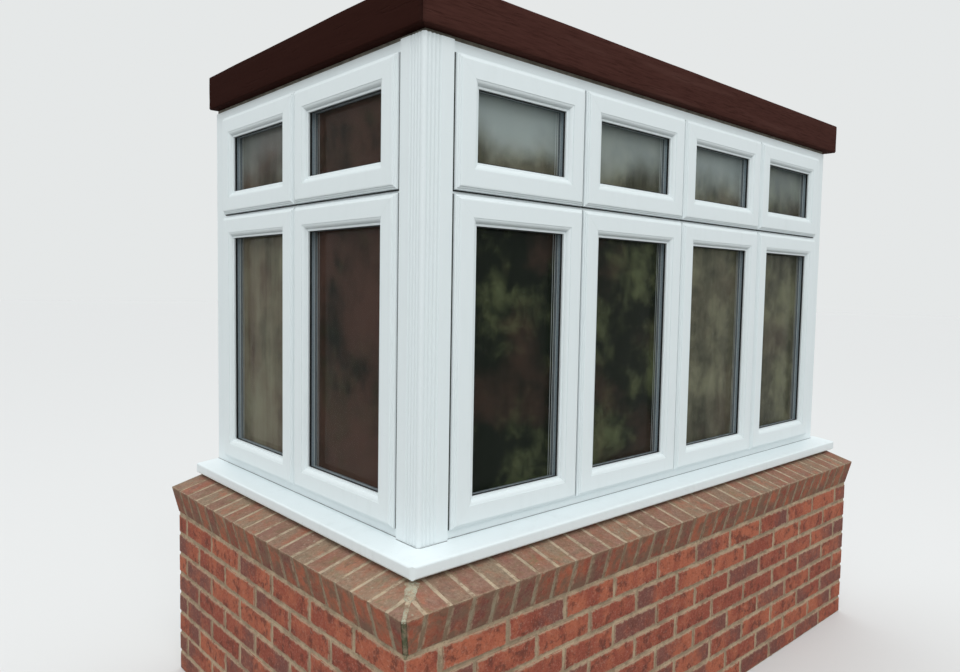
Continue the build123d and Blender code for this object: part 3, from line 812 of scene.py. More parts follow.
class WindowSettings(bpy.types.PropertyGroup):
    """White plastic, glass and seals of the window, and the inner walls."""

    edge: length("Edge rounding", "Rounding of the sash profile's edges", 0.0008)
    weld: length("Weld groove", "Depth of the groove at the welded corners", 0.0004)
    gasket_lip: length("Gasket lip", "How far the black gasket shows beside the glass", 0.0035)
    bead: length("Sealant bead", "Width of the bead along the frames' foot", 0.0032)
    white: colour("White", "The plastic", (0.770, 0.835, 0.850))
    board: colour("Board white", "The window boards", (0.74, 0.74, 0.72))
    grime: colour("Grime", "Specks and dust", (0.32, 0.31, 0.28))
    # Painted shade colour: greys faces that look down, and the flutes of the cover.
    painted_shade: colour("Underside", "Dust under steps and in flutes", (0.42, 0.47, 0.485))
    seal: colour("Seal", "Black rubber", (0.012, 0.013, 0.013))
    # Dust on rubber and marks on sealant, and also the painted shade of the spacer's slot.
    dusty_seal_and_slot_shade: colour("Dusty seal", "Rubber with dust on it", (0.05, 0.05, 0.048))
    spacer: colour("Spacer", "Bar between the panes", (0.22, 0.28, 0.32))
    spacer_light: colour("Light spacer", "Bar between the panes", (0.30, 0.36, 0.40))
    # Painted highlight colour: bead edges on the inner pane, and the spacer's crease.
    painted_bright_line: colour("Bead's edge", "Thin bright edges beside the spacer", (0.62, 0.68, 0.68))
    glass_gloss: amount("Glass gloss", "Specular level of the panes", 0.035)
    # Painted shade: the dark of the room behind the inner pane.
    glass_room_shade: colour("Dark glass", "The inner pane", (0.006, 0.008, 0.005))
    # Painted reflection on the inner pane: olive clouds.
    reflection_olive: colour("Olive glass", "The inner pane's lighter clouds", (0.086, 0.100, 0.046))
    # Painted reflection on the inner pane: brown clouds.
    reflection_brown: colour("Brown glass", "The inner pane's warmer clouds", (0.072, 0.037, 0.028))
    # Painted light of a lighter room behind the panes.
    painted_room_light: colour("Light glass", "Panes with a lighter room behind them", (0.215, 0.205, 0.142))
    # Painted sky reflection at the top of the fanlights.
    painted_sky_reflection: colour("Sky on the glass", "Tops of the fanlights", (0.34, 0.40, 0.40))
    glass_clear: colour("Clear glass", "The outer pane", (0.12, 0.15, 0.13))
    # Near-opaque, so the inner pane's painted room shade stands where the room would show.
    inner_alpha: amount("Inner pane", "How opaque the inner pane is", 0.998)
    outer_alpha: amount("Outer pane", "How opaque the outer pane is", 0.02)
    sealant: colour("Sealant", "Joint between frame and cill", (0.26, 0.28, 0.29))
    zinc: colour("Zinc", "The tube in the corner post", (0.44, 0.46, 0.48))
    zinc_light: colour("Light zinc", "The tube in the corner post", (0.60, 0.62, 0.64))
    plaster: colour("Plaster", "Painted inner wall", (0.66, 0.63, 0.56))
    plaster_shade: colour("Plaster shade", "Painted inner wall", (0.62, 0.59, 0.525))
    foam: colour("Foam", "Cavity board", (0.62, 0.48, 0.20))
    foam_dark: colour("Dark foam", "Cavity board", (0.42, 0.30, 0.11))


class BeamSettings(bpy.types.PropertyGroup):
    """The stained beam above the window, and the seal under it."""

    arris: length("Arris", "Rounding of the beam's edges", 0.004)
    warp: length("Unevenness", "How far the old faces are off flat", 0.0012)
    step: length("Step", "Distance between stations along the beam", 0.02)
    stain: colour("Stain", "Dark red-brown", (0.064, 0.0255, 0.0205))
    # Dark stain in the grain, and also the painted shade that darkens the left beam.
    stain_dark_and_shade: colour("Dark stain", "In the grain", (0.024, 0.0080, 0.0060))
    stain_worn: colour("Worn stain", "Where the finish has thinned", (0.088, 0.040, 0.033))
    head_seal: colour("Head seal", "Foam under the beam", (0.15, 0.135, 0.105))
    head_seal_light: colour("Light head seal", "Foam under the beam", (0.25, 0.23, 0.185))


class StageSettings(bpy.types.PropertyGroup):
    """Floor, light and camera."""

    floor: colour("Floor", "Plain pale floor", (0.71, 0.705, 0.70))
    floor_bounce: colour("Bounce", "What the floor throws back at the object", (0.26, 0.26, 0.25))
    floor_radius: length("Floor radius", "Radius of the floor", 60.0)
    sky: colour("Sky", "Colour of the light from the sky", (0.96, 0.99, 1.0))
    sky_top: amount("Light from above", "Strength of the light from straight above", 1.20)
    sky_low: amount("Light from the sides", "Strength of the light from the sides", 1.05)
    background: colour("Background", "The pale backdrop", (0.785, 0.805, 0.805))
    lamp_power: amount("Lamp power", "Power of the large soft lamp in watts", 110.0)
    lamp_width: length("Lamp width", "Diameter of the large soft lamp", 4.0)
    camera_right: length("Camera, along the front", "From the post's outer corner", -1.1303)
    camera_back: length("Camera, away from the front", "From the post's outer corner", -1.4751)
    camera_up: length("Camera, height", "Above the frame's foot", 0.6716)
    yaw: angle("Yaw", "Turn of the view", 47.919)
    pitch: angle("Pitch", "Rise of the view", -3.764)
    roll: angle("Roll", "Roll of the view", 0.98)
    focal: amount("Focal length", "In millimetres on a 36 mm wide sensor", 27.646)


GROUPS = {
    "window_brickwork": BrickworkSettings,
    "window_plastic": WindowSettings,
    "window_beam": BeamSettings,
    "window_stage": StageSettings,
}


# Brickwork


def bed_gauge(look):
    """Height of one course with its joint, and how many courses lie under the sill."""
    gauge = look.brick_height + look.joint
    return gauge, int(round((SILL_LOW - GROUND) / gauge))


def course(start, end, size, joint):
    """Starts and ends of the bricks of one course: whole ones at one step, and the last cut to the end."""
    starts = np.arange(start, end - joint, size + joint)
    ends = np.minimum(starts + size, end)
    ends[-1] = end
    return np.stack((starts, ends), axis=-1)


def lay_wall(side, look):
    """Low and high corners (run, depth, height) of the bricks of one side, in stretcher bond from the corner.

    The free end of the front is bonded to a short return, and has two more courses behind the sill.
    """
    size, width, joint = look.brick_length, look.brick_width, look.joint
    gauge, courses = bed_gauge(look)
    first, last, free = -WALL_OUT, RUN_END[side], side == "front"
    rows = []
    for number in range(courses):
        crossed = (courses - 1 - number) % 2 == (0 if free else 1)
        cut = width + joint if crossed else 0
        run = course(first + cut, last - (cut if free else 0), size, joint)
        rows += [(number, start, end, first, first + width) for start, end in run]
        if free:
            back = course(first + width + joint - cut, ROOM_FACE, size, joint)
            rows += [(number, last - width, last, start, end) for start, end in back]
    if free:
        behind = CAVITY_BACK + joint
        rows += [(number, last - width, last, behind, ROOM_FACE) for number in (courses, courses + 1)]
    number, start, end, front, back = np.array(rows).T
    foot = GROUND + number * gauge
    lows = np.stack((start, front, foot), axis=-1)
    highs = np.stack((end, back, foot + look.brick_height), axis=-1)
    return np.stack((lows, highs), axis=1)


def worn(points, edge, look, seed):
    """Bricks with uneven faces and chipped edges: slow waves, and on edges drawn steps towards the middle."""
    draws = np.random.default_rng(seed)
    inward = points.mean(axis=1, keepdims=True) - points
    inward /= np.linalg.norm(inward, axis=-1, keepdims=True)
    chip = np.maximum(draws.normal(0.0, 0.5, points.shape[:2]), 0) * edge * look.radius
    wave = np.stack([ripple(points, 50 * MM, seed + axis) for axis in range(3)], axis=-1)
    return points + inward * chip[..., None] + wave * look.wear


def brick_values(look, along, inset, draws):
    """Tone, burnt share and inset of every point, which lies along its brick from -1 to 1.

    A brick burnt all over has a burnt share of 0.75, and on one burnt at an end it rises evenly along it.
    """
    tone, kind, end = (draws.uniform(0, 1, (len(along), 1)) for _ in range(3))
    all_over = kind < look.burnt_all_over
    one_end = ~all_over & (kind < look.burnt_all_over + look.burnt_at_one_end)
    burnt = 0.75 * all_over + one_end * (0.5 + 0.6 * along * np.where(end < 0.5, 1.0, -1.0))
    return {"tone": (tone + 0 * along).ravel(), "burnt": burnt.ravel(), "inset": inset.reshape(-1, 3)}


class WINDOW_OT_wall_bricks(bpy.types.Operator):
    """Lays the facing bricks of both sides in stretcher bond, bonded at the corner and at the free end"""

    bl_idname = "window.wall_bricks"
    bl_label = "Wall bricks"

    def execute(self, context):
        look = context.scene.window_brickwork
        finish = finish_wall_bricks(look)
        for number, side in enumerate(SIDES):
            draws = np.random.default_rng(look.seed + number)
            boxes = lay_wall(side, look)
            count = len(boxes)
            halves = (boxes[:, 1] - boxes[:, 0]) / 2 + draws.uniform(-1, 0.3, (count, 3)) * look.wander
            middles = boxes.mean(axis=1)
            middles[:, 1] += draws.uniform(0, 1, count) * look.wander
            middles[:, ::2] += draws.uniform(-0.7, 0.7, (count, 2)) * look.wander
            points, squares, edge, inset = rounded_boxes(halves, look.radius)
            # Where each point lies along the longest side of its brick, from -1 to 1
            longest = np.argmax(halves, axis=1)[:, None, None]
            along = np.take_along_axis(points, longest, axis=2)[..., 0] / halves.max(axis=1)[:, None]
            points[..., 2] += points[..., 0] * draws.normal(0, look.lean, count)[:, None]
            points = worn(points + middles[:, None], edge, look, look.seed + number)
            points = np.clip(points, (-WALL_OUT, -WALL_OUT, GROUND), (RUN_END[side], np.inf, np.inf))
            add_boxes(f"{side}_wall_bricks", side, points, squares, finish, "red_brick",
                      f"{side}_brick_wall", sharp=180.0, **brick_values(look, along, inset, draws))
        return {"FINISHED"}


# The hollow of a bed joint: heights as shares of the joint from its middle, and depths in millimetres
HOLLOW = np.array([(-0.5, 0.0), (-0.25, 0.8), (0.0, 1.1), (0.25, 0.8), (0.5, 0.0)])


def mortar_skin(side, look):
    """The wall's body of mortar: a section carried along a side, whose face dips at every bed joint."""
    gauge, courses = bed_gauge(look)
    face, back = look.recess - WALL_OUT, look.brick_width - WALL_OUT
    top = GROUND + courses * gauge
    middles = GROUND + np.arange(1, courses)[:, None] * gauge - look.joint / 2
    heights = (GROUND, *(middles + HOLLOW[:, 0] * look.joint).ravel(), top)
    depths = face + np.array((0, *np.tile(HOLLOW[:, 1], courses - 1), 0)) * MM
    rise = (back - face) * tan(SILL_TILT)
    outline = np.vstack((np.stack((depths, heights), axis=-1), (back, top + rise), (back, GROUND)))
    return mitred_run(side, outline, RUN_END[side] - look.recess, stations=120)


def free_end_mortar(look):
    """Mortar of the wall's free end: below the sill, behind it up to the wall's top, and under its slope."""
    gauge, courses = bed_gauge(look)
    start, end = RUN_END["front"] - look.brick_width + look.recess, RUN_END["front"] - look.recess
    inner, behind, room = look.brick_width - WALL_OUT, SILL_BACK + 0.5 * MM, ROOM_FACE - look.recess
    shoulder = GROUND + courses * gauge
    rise = [shoulder + (depth + WALL_OUT) * tan(SILL_TILT) for depth in (inner, behind)]
    wedge = [(inner, shoulder), (behind, shoulder), (behind, rise[1]), (inner, rise[0])]
    return [
        slab("front", (start, inner, GROUND), (end, room, shoulder)),
        slab("front", (start, behind, shoulder), (end, room, WALL_TOP)),
        run_along("front", wedge, [[start], [end]]),
    ]


class WINDOW_OT_wall_mortar(bpy.types.Operator):
    """Fills the joints between the wall bricks with mortar tooled hollow at the bed joints"""

    bl_idname = "window.wall_mortar"
    bl_label = "Wall mortar"

    def execute(self, context):
        look = context.scene.window_brickwork
        finish = finish_mortar(look)
        for side in SIDES:
            parts = [mortar_skin(side, look)] + (free_end_mortar(look) if side == "front" else [])
            parts = [(uneven(points, 0.35 * MM, 30 * MM, look.seed), faces) for points, faces in parts]
            add_piece(f"{side}_wall_mortar", parts, finish, "mortar", [f"{side}_brick_wall"])
        return {"FINISHED"}


def on_slope(up, under):
    """Depth and height of a point up the sill's slope and under its top: both ways turned by the tilt."""
    depth = -NOSE_OUT + up * cos(SILL_TILT) + under * sin(SILL_TILT)
    height = NOSE_HEIGHT + up * sin(SILL_TILT) - under * cos(SILL_TILT)
    return depth, height


def sill_rows(side, look):
    """Low run at the nose, low run at the back, high run, and length up the slope, of each sill brick.

    The first is the closer, cut along the corner's mitre, and the second is shortened beside it.
    """
    joint, mitre, first = look.joint, look.mitre, look.closer
    total = RUN_END[side] + NOSE_OUT - first
    count = int(round(total / (look.brick_height + joint)))
    starts = first + np.arange(count) * total / count - NOSE_OUT
    lows, highs = starts + joint / 2, starts + total / count - joint / 2
    highs[-1] = RUN_END[side]
    lengths = np.minimum(look.sill_length, (lows + NOSE_OUT - 1.5 * mitre) / cos(SILL_TILT))
    lengths[0] = look.sill_first
    cut = first - joint / 2 - NOSE_OUT
    closer = (mitre - NOSE_OUT, cut - mitre, cut, (first - joint - mitre) / cos(SILL_TILT))
    return np.vstack((closer, np.stack((lows, lows, highs, lengths), axis=-1)))


class WINDOW_OT_sill_bricks(bpy.types.Operator):
    """Sets bricks on edge on the sloping sill, with a mitred closer and a shortened brick at the corner"""

    bl_idname = "window.sill_bricks"
    bl_label = "Sill bricks"

    def execute(self, context):
        look = context.scene.window_brickwork
        finish = finish_sill_bricks(look)
        for number, side in enumerate(SIDES):
            draws = np.random.default_rng(look.seed + 20 + number)
            nose, back, high, reach = sill_rows(side, look).T[..., None]
            count = len(nose)
            widths = np.maximum(high - nose, 20 * MM)
            halves = np.hstack((reach, widths, np.full((count, 1), SILL_BRICK_HEIGHT))) / 2
            points, squares, edge, inset = rounded_boxes(halves, look.radius * 0.9)
            points = worn(points, edge, look, look.seed + 40 + number)
            # Up the slope the low side goes from its run at the nose to its run at the back
            up = points[..., 0] + halves[:, :1]
            low = nose + (back - nose) * up / reach
            run = low + (high - low) * (points[..., 1] / widths + 0.5)
            under = halves[:, 2:] - points[..., 2] + draws.uniform(0, look.sunk, (count, 1))
            up = np.maximum(up + draws.uniform(0, look.held_back, (count, 1)), 0)
            depth, height = on_slope(up, np.clip(under, 0, SILL_BRICK_HEIGHT))
            # No point comes nearer to the mitre than a gap that narrows up the slope
            off_mitre = np.interp(up, (0, 30 * MM), (look.arris_cut, look.joint * 0.45))
            run = np.clip(run, depth + off_mitre, RUN_END[side])
            values = brick_values(look, points[..., 2] / halves[:, 2:], inset, draws)
            add_boxes(f"{side}_sill_bricks", side, np.stack((run, depth, height), axis=-1), squares,
                      finish, "sill_brick", f"{side}_brick_sill", sharp=180.0, **values)
        return {"FINISHED"}


class WINDOW_OT_sill_mortar(bpy.types.Operator):
    """Fills the joints of the sill with mortar, mitred at the corner, and beds the cill on it"""

    bl_idname = "window.sill_mortar"
    bl_label = "Sill mortar"

    def execute(self, context):
        look = context.scene.window_brickwork
        finish = finish_mortar(look, "sill_mortar", pale=0.25, faded=0.85)
        dip = look.recess * 0.7
        upper = np.stack(on_slope(np.linspace(dip, SILL_MORTAR_REACH, 9), dip), axis=-1)
        foot = on_slope(dip, SILL_BRICK_HEIGHT)
        bed = foot[1] + (SILL_BACK - foot[0]) * tan(SILL_TILT)
        outline = np.vstack((upper, (SILL_BACK, SILL_TOP - dip), (SILL_BACK, bed), foot))
        for side in SIDES:
            points, faces = mitred_run(side, outline, RUN_END[side] - look.recess, stations=160)
            points = uneven(points, 0.5 * MM, 30 * MM, look.seed + 3)
            add_piece(f"{side}_sill_mortar", [(points, faces)], finish, "mortar", [f"{side}_brick_sill"])
        bedding = finish_mortar(look, "cill_bedding")
        for side in SIDES:
            dress(f"{side}_cill_bedding", bedding)
        return {"FINISHED"}


# The corner patch from the nose to the cill: where it ends, and its half width and rise in millimetres
# at shares of its length
PATCH_END = -60 * MM
PATCH_HALF = ((0, 0.08, 0.5, 0.62, 0.72, 1), (3, 4, 4.5, 11, 12.5, 12))
PATCH_RISE = ((0, 0.1, 0.5, 0.65, 1), (0.3, 1.2, 1.4, 2.4, 1.8))


class WINDOW_OT_corner_patch(bpy.types.Operator):
    """Heaps the lichened mortar over the sill's mitre, from the closers up to the cill's corner"""

    bl_idname = "window.corner_patch"
    bl_label = "Corner mortar patch"

    def execute(self, context):
        look = context.scene.window_brickwork
        finish = finish_mortar(look, "lichened_mortar", pale=0.9)
        along, across = np.meshgrid(np.linspace(0, 1, 60), np.linspace(-1, 1, 21), indexing="ij")
        start = look.mitre - NOSE_OUT
        middle = start + (PATCH_END - start) * along
        half = np.interp(along, *PATCH_HALF) * MM * across
        flat = np.stack((middle + half, middle - half, 0 * half), axis=-1)
        lumps = 1.1 * ripple(flat, 16 * MM, look.seed + 5) + 0.5 * ripple(flat, 6 * MM, look.seed + 6)
        half = half * (1 + 0.25 * ripple(flat, 20 * MM, look.seed + 7))
        # The top is the lower of the two slopes, plus a lumpy rise under a crown like a half circle
        run, depth = middle + half, middle - half
        sill = NOSE_HEIGHT + (np.minimum(run, depth) + NOSE_OUT) * tan(SILL_TILT)
        crown = np.sqrt(np.maximum(1 - across**2, 0))
        top = sill + ((np.interp(along, *PATCH_RISE) + lumps) * crown - 1.5 * (1 - crown)) * MM
        upper, lower = (place("front", run, depth, height) for height in (top, sill - 6 * MM))
        patch = capped_tube(np.concatenate((upper, lower[:, ::-1]), axis=1))
        add_piece("corner_mortar_patch", [patch], finish, "mortar", ["front_brick_sill"], sharp=80.0)
        return {"FINISHED"}


class WINDOW_OT_inner_walls(bpy.types.Operator):
    """Finishes the plastered inner leaf and the foam in the cavity"""

    bl_idname = "window.inner_walls"
    bl_label = "Inner walls"

    def execute(self, context):
        look = context.scene.window_plastic
        plaster, foam = finish_plaster(look), finish_insulation(look)
        for side in SIDES:
            dress(f"{side}_block_wall", plaster)
            dress(f"{side}_cavity_fill", foam)
        return {"FINISHED"}


# The window


def sash_outline(edge):
    """Section of a sash as (depth, inset): stepped outer bevel, flat face, ovolo, glazing lip and back.

    The ovolo is a parabola: a line from face to lip, plus a sag by the product of the way gone and left.
    """
    rail, face, front, back, flat, rebate, tongue = RAIL / MM, -12.0, 7.6, 66.0, 58.0, 60.0, 12.0
    bevel = [(0, 0), (-3.2, 1.17), (-4, 4.67), (-7.2, 5.83), (-8, 9.33), (-11.2, 10.5), (face, 14)]
    turn = np.linspace(0, 1, 8)[:, None]
    start, end, sag = np.array(((face + 1.5, flat), (-0.5, rail - 6), (-2.2, 1.584)))
    ovolo = start + (end - start) * turn + sag * 4 * turn * (1 - turn)
    corners = np.vstack((
        (front, 0), bevel, (face, flat), ovolo, (0, rail), (6, rail), (6, rebate),
        (back, rebate), (back, tongue), (front, tongue),
    )) * MM
    rounding = np.full(len(corners), edge)
    steps_of_bevel, points_of_ovolo = slice(2, 8), slice(9, 17)
    rounding[steps_of_bevel] = 0.35 * MM
    rounding[points_of_ovolo] = 0.2 * MM
    return softened(corners, rounding, steps=3)


class WINDOW_OT_sashes(bpy.types.Operator):
    """Makes the twelve sashes: one sculptured section carried round each light, with welded mitres"""

    bl_idname = "window.sashes"
    bl_label = "Sashes"

    def execute(self, context):
        look = context.scene.window_plastic
        finish = finish_plastic(look)
        outline = sash_outline(look.edge)
        for side in SIDES:
            for node in SASHES[side]:
                part = ring(side, light_outline(side, node), outline, groove=look.weld)
                add_piece(f"{node}_sash", [part], finish, "white_upvc", [node], sharp=28.0)
        return {"FINISHED"}


class WINDOW_OT_frames(bpy.types.Operator):
    """Finishes the outer frames, the corner post with its covers, and the beads"""

    bl_idname = "window.frames"
    bl_label = "Frames and post"

    def execute(self, context):
        look = context.scene.window_plastic
        finish = finish_plastic(look, "white_frame")
        for side in SIDES:
            dress(f"{side}_frame", finish, bevel=0.8 * MM)
            dress(f"{side}_glazing_beads", finish, bevel=0.6 * MM)
        dress("inner_corner_cover", finish, bevel=0.8 * MM)
        dress("corner_post_cover", finish_plastic(look, "fluted_cover", fluted=True))
        dress("corner_post", finish_tube(look))
        return {"FINISHED"}


def foot_bead(size):
    """A thin half-round bead carried in plan along the foot of both frames and round the post's cover.

    Its section stands square to the path, and sinks with the cill's fall.
    """
    turn, step = 12 * MM, 3 * MM
    arc = np.linspace(0, pi / 2, 7)
    bend = turn - turn * np.stack((np.cos(arc), np.sin(arc)), axis=-1)
    near, far = COVER_WIDTH - step, COVER_WIDTH + step
    path = np.vstack((
        (FRAME_FACE, FRAME_END["left"]), (FRAME_FACE, far), (0, near), bend,
        (near, 0), (far, FRAME_FACE), (FRAME_END["front"], FRAME_FACE),
    ))
    ahead = np.gradient(path, axis=0)
    outward = np.stack((ahead[:, 1], -ahead[:, 0]), axis=-1)
    outward /= np.linalg.norm(outward, axis=1, keepdims=True)
    half_turn = np.linspace(0, pi, 7)
    section = np.stack((np.cos(half_turn), np.sin(half_turn)), axis=-1) * size / 2 + (size * 0.4, -0.2 * size)
    run, depth = np.moveaxis(path[:, None] + outward[:, None] * section[:, :1], -1, 0)
    fall = (np.minimum(run, depth) - FRAME_FACE) * CILL_FALL
    return capped_tube(place("front", run, depth, fall + section[:, 1]))


class WINDOW_OT_cills(bpy.types.Operator):
    """Finishes the white cills and their end caps, and runs the sealant bead along the frames' foot"""

    bl_idname = "window.cills"
    bl_label = "Cills"

    def execute(self, context):
        look = context.scene.window_plastic
        finish = finish_plastic(look, "white_cill", dirt=1.6)
        for node in ("front_cill", "left_cill", "right_cill_end_cap", "left_cill_end_cap"):
            dress(node, finish)
        add_piece("foot_sealant", [foot_bead(look.bead)], finish_sealant(look), "sealant", sharp=60.0)
        return {"FINISHED"}


def gap_seals(side):
    """Black seals beside every sash and under every fanlight, each a slim strip on the frame's face."""
    width, front, back, gap = 3 * MM, 3.2 * MM, FRAME_FACE, 0.3 * MM
    parts = []
    for node in SASHES[side]:
        start, end, low, high = light_outline(side, node)
        parts.append(slab(side, (start - gap - width, front, low), (start - gap, back, high)))
        parts.append(slab(side, (end + gap, front, low), (end + gap + width, back, high)))
        if "fanlight" in node:
            parts.append(slab(side, (start, front, low - gap - width), (end, back, low - gap)))
    return parts


def gasket_outline(lip):
    """Section of the outer gasket as (depth, inset): from sash to glass, with a soft lip past the sash."""
    flat, glass, seat = 6.0, GLASS_FRONT / MM, (RAIL - GLASS_COVER) / MM + 6.0
    lip = lip / MM + 8.0
    corners = np.array([(flat, 0), (flat, 8.0), (5.2, 9.0), (5.4, lip - 0.6), (glass, lip), (glass, 0)])
    return softened((corners + (0, seat)) * MM, 0.8 * MM, steps=4)


class WINDOW_OT_glazing(bpy.types.Operator):
    """Glazes the lights: an outer and an inner pane, black gaskets on both faces, and the spacer bars"""

    bl_idname = "window.glazing"
    bl_label = "Glazing"

    def execute(self, context):
        look = context.scene.window_plastic
        outer = float_glass(look, "outer_pane", look.glass_clear, look.outer_alpha).material
        rubber = finish_rubber(look)
        gasket = gasket_outline(look.gasket_lip)
        gaskets = (gasket, gasket * (-1, 1) + (GLASS_FRONT + GLASS_BACK, 0))
        for side in SIDES:
            lights = np.array([light_outline(side, node) for node in SASHES[side]])
            inner = finish_inner_pane(look, side)
            for title, front, finish in (("outer", GLASS_FRONT, outer), ("inner", GLASS_BACK - PANE, inner)):
                self.add_panes(side, title, lights, front, finish)
            rings = [ring(side, light, section) for light in lights for section in gaskets]
            add_piece(f"{side}_glazing_gaskets", rings, rubber, "gasket", [f"{side}_gaskets"], sharp=50.0)
            dress(f"{side}_spacer_bars", finish_spacer(look, side))
            add_piece(f"{side}_gap_seals", gap_seals(side), rubber, "gasket", [f"{side}_sash_seals"])
        return {"FINISHED"}

    def add_panes(self, side, title, lights, front, finish):
        """One pane in each light, with its tone, and how far each of its points lies in from its edge."""
        start, end, low, high = lights.T
        level = np.full(len(lights), front + PANE / 2)
        edge = RAIL - GLASS_COVER
        middles = np.stack(((start + end) / 2, level, (low + high) / 2), axis=-1)
        halves = np.stack(((end - start) / 2 - edge, level - front, (high - low) / 2 - edge), axis=-1)
        points, squares, _, inset = rounded_boxes(halves, 0.4 * MM, PANE_LINES)
        add_boxes(f"{side}_{title}_panes", side, points + middles[:, None], squares, finish, "glass",
                  f"{side}_glass_panes", sharp=50.0, tone=np.repeat(PANE_TONES[side], points.shape[1]),
                  inset=inset[..., 0].ravel())


class WINDOW_OT_handles(bpy.types.Operator):
    """Finishes the lever handles inside the casements"""

    bl_idname = "window.handles"
    bl_label = "Handles"

    def execute(self, context):
        finish = finish_plastic(context.scene.window_plastic, "white_handle", roughness=0.35, dirt=0.4)
        dress("casement_handles", finish, bevel=0.5 * MM, angle=40)
        return {"FINISHED"}


class WINDOW_OT_boards(bpy.types.Operator):
    """Finishes the window boards on the inner leaf"""

    bl_idname = "window.boards"
    bl_label = "Window boards"

    def execute(self, context):
        look = context.scene.window_plastic
        finish = finish_plastic(look, "white_board", look.board, roughness=0.4, dirt=0.6)
        for side in SIDES:
            dress(f"{side}_window_board", finish)
        return {"FINISHED"}


class WINDOW_OT_head_beams(bpy.types.Operator):
    """Carries the uneven section of the old stained beam along both sides, mitred at the corner"""

    bl_idname = "window.head_beams"
    bl_label = "Head beams"

    def execute(self, context):
        look = context.scene.window_beam
        finish = finish_timber(look)
        for number, side in enumerate(SIDES):
            node = f"{side}_head_beam"
            low, high = box_from_corner(node)
            inward, along = INWARD[side], ALONG[side]
            front, back, foot, top, end = low[inward], high[inward], low[2], high[2], high[along]
            corners = np.array([(front, foot), (back, foot), (back, top), (front, top)])
            quarters = np.arange(4)[:, None] / 4
            rows = corners[:, None] + (np.roll(corners, -1, axis=0) - corners)[:, None] * quarters
            outline = softened(rows.reshape(-1, 2), look.arris, steps=2)
            points, faces = mitred_run(side, outline, end, int((end - front) / look.step))
            # Every point moves towards the beam's middle line by waves that are long along the beam
            inwards = (low + high) / 2 - (points - CORNER)
            inwards[:, along] = 0
            inwards /= np.linalg.norm(inwards, axis=1, keepdims=True)
            calm = np.ones(3)
            calm[along] = 0.15
            wave = ripple(points * calm, 50 * MM, 60 + number) + 0.6 * ripple(points, 0.3, 70 + number)
            points = points + inwards * (look.warp * (1 + wave) * 0.5)[:, None]
            add_piece(node + "_timber", [(points, faces)], finish, "painted_timber", [node], sharp=60.0,
                      turned=np.full(len(points), float(number)))
        dress("head_seal", finish_head_seal(look))
        return {"FINISHED"}


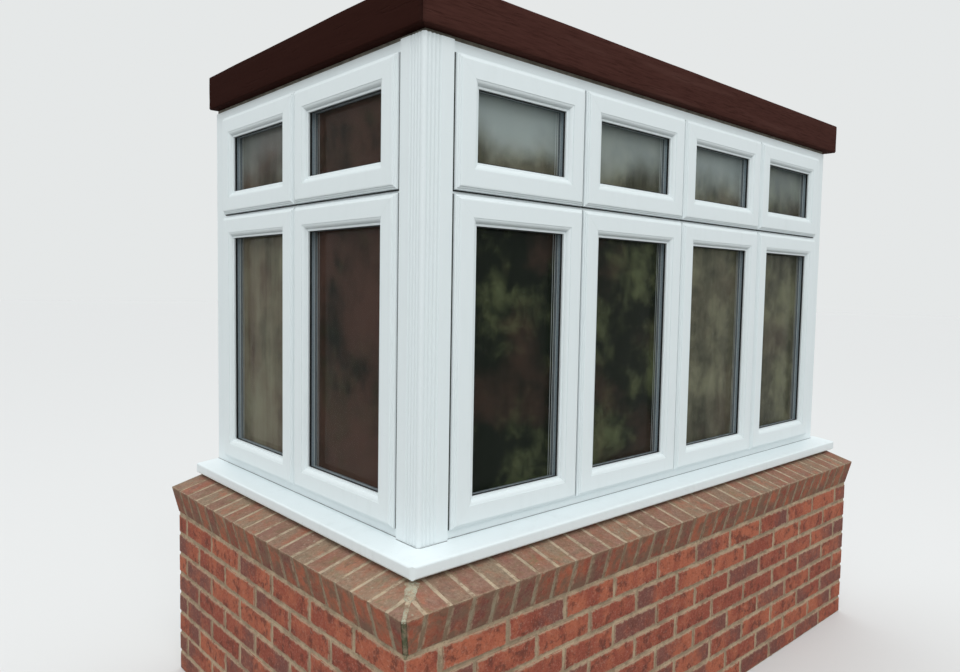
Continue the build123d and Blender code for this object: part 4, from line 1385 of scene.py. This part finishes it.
class WINDOW_OT_stage(bpy.types.Operator):
    """Sets the pale floor, the soft light and the camera at the photograph's viewing angle"""

    bl_idname = "window.stage"
    bl_label = "Stage"

    def execute(self, context):
        look = context.scene.window_stage
        self.lay_floor(context, look)
        self.light(context, look)
        self.aim_camera(context, look)
        context.scene.view_settings.view_transform = "Standard"
        return {"FINISHED"}

    def lay_floor(self, context, look):
        """A flat disc under the object: one face whose 96 points go round a circle."""
        turn = np.linspace(0, 2 * pi, 96, endpoint=False)
        points = np.stack((np.cos(turn), np.sin(turn), 0 * turn), axis=-1) * look.floor_radius
        mesh = bpy.data.meshes.new("floor")
        mesh.from_pydata(points.tolist(), [], [list(range(len(points)))])
        paint = Finish("pale_floor", look.floor_bounce, roughness=0.9, Specular_IOR_Level=0.1)
        paint.coat(look.floor, paint.seen())
        mesh.materials.append(paint.material)
        floor = bpy.data.objects.new("floor", mesh)
        context.scene.collection.objects.link(floor)

    def light(self, context, look):
        """Overcast light: strongest from above, even from the sides, with one large soft lamp in front."""
        world = bpy.data.worlds.new("overcast")
        context.scene.world = world
        world.use_nodes = True
        world.node_tree.nodes.clear()
        sky = Nodes(world.node_tree)
        rise = sky.parts(sky.add("ShaderNodeTexCoord").outputs["Generated"])[2]
        strength = sky.between(rise, look.sky_low, look.sky_top)
        mixer = sky.add("ShaderNodeMixShader", Fac=sky.seen())
        glow = sky.add("ShaderNodeBackground", Color=look.sky, Strength=strength)
        back = sky.add("ShaderNodeBackground", Color=look.background)
        sky.link(mixer.inputs[1], glow.outputs[0])
        sky.link(mixer.inputs[2], back.outputs[0])
        sky.add("ShaderNodeOutputWorld", Surface=mixer.outputs[0])
        lamp = bpy.data.lights.new("soft_lamp", "AREA")
        lamp.shape = "DISK"
        lamp.size = look.lamp_width
        lamp.energy = look.lamp_power
        holder = bpy.data.objects.new("soft_lamp", lamp)
        above, target = Vector((-3.1, -3.4, 6.2)), Vector((-0.3, -0.4, 1.0))
        turn = (above - target).to_track_quat("Z", "Y").to_matrix().to_4x4()
        holder.matrix_world = Matrix.Translation(above) @ turn
        holder.visible_glossy = False
        context.scene.collection.objects.link(holder)

    def aim_camera(self, context, look):
        """The camera, turned by its yaw about the vertical, by its pitch, and by its roll about its view."""
        camera = bpy.data.cameras.new("camera")
        camera.sensor_fit = "HORIZONTAL"
        camera.sensor_width = 36.0
        camera.lens = look.focal
        holder = bpy.data.objects.new("camera", camera)
        eye = CORNER + (look.camera_right, look.camera_back, look.camera_up)
        turns = ((look.yaw - pi / 2, "Z"), (look.pitch + pi / 2, "X"), (look.roll, "Z"))
        view = Matrix.Translation(eye)
        for turn, axis in turns:
            view = view @ Matrix.Rotation(turn, 4, axis)
        holder.matrix_world = view
        context.scene.collection.objects.link(holder)
        context.scene.camera = holder


OPERATORS = (
    WINDOW_OT_wall_bricks,
    WINDOW_OT_wall_mortar,
    WINDOW_OT_sill_bricks,
    WINDOW_OT_sill_mortar,
    WINDOW_OT_corner_patch,
    WINDOW_OT_inner_walls,
    WINDOW_OT_cills,
    WINDOW_OT_frames,
    WINDOW_OT_sashes,
    WINDOW_OT_glazing,
    WINDOW_OT_handles,
    WINDOW_OT_boards,
    WINDOW_OT_head_beams,
    WINDOW_OT_stage,
)


class WINDOW_PT_pieces(bpy.types.Panel):
    """Lists the steps that finish the window"""

    bl_idname = "WINDOW_PT_pieces"
    bl_label = "Corner Window"
    bl_space_type = "VIEW_3D"
    bl_region_type = "UI"
    bl_category = "Corner Window"

    def draw(self, context):
        for operator in OPERATORS:
            self.layout.operator(operator.bl_idname)


def register():
    """Registers the settings, the operators and the panel."""
    for title, group in GROUPS.items():
        bpy.utils.register_class(group)
        setattr(bpy.types.Scene, title, bpy.props.PointerProperty(type=group))
    for item in (*OPERATORS, WINDOW_PT_pieces):
        bpy.utils.register_class(item)


def unregister():
    """Removes what register() added."""
    for item in (WINDOW_PT_pieces, *reversed(OPERATORS)):
        bpy.utils.unregister_class(item)
    for title, group in GROUPS.items():
        delattr(bpy.types.Scene, title)
        bpy.utils.unregister_class(group)


def main():
    """Runs every step in order."""
    register()
    for operator in OPERATORS:
        group, step = operator.bl_idname.split(".")
        getattr(getattr(bpy.ops, group), step)()


if __name__ == "__main__":
    main()
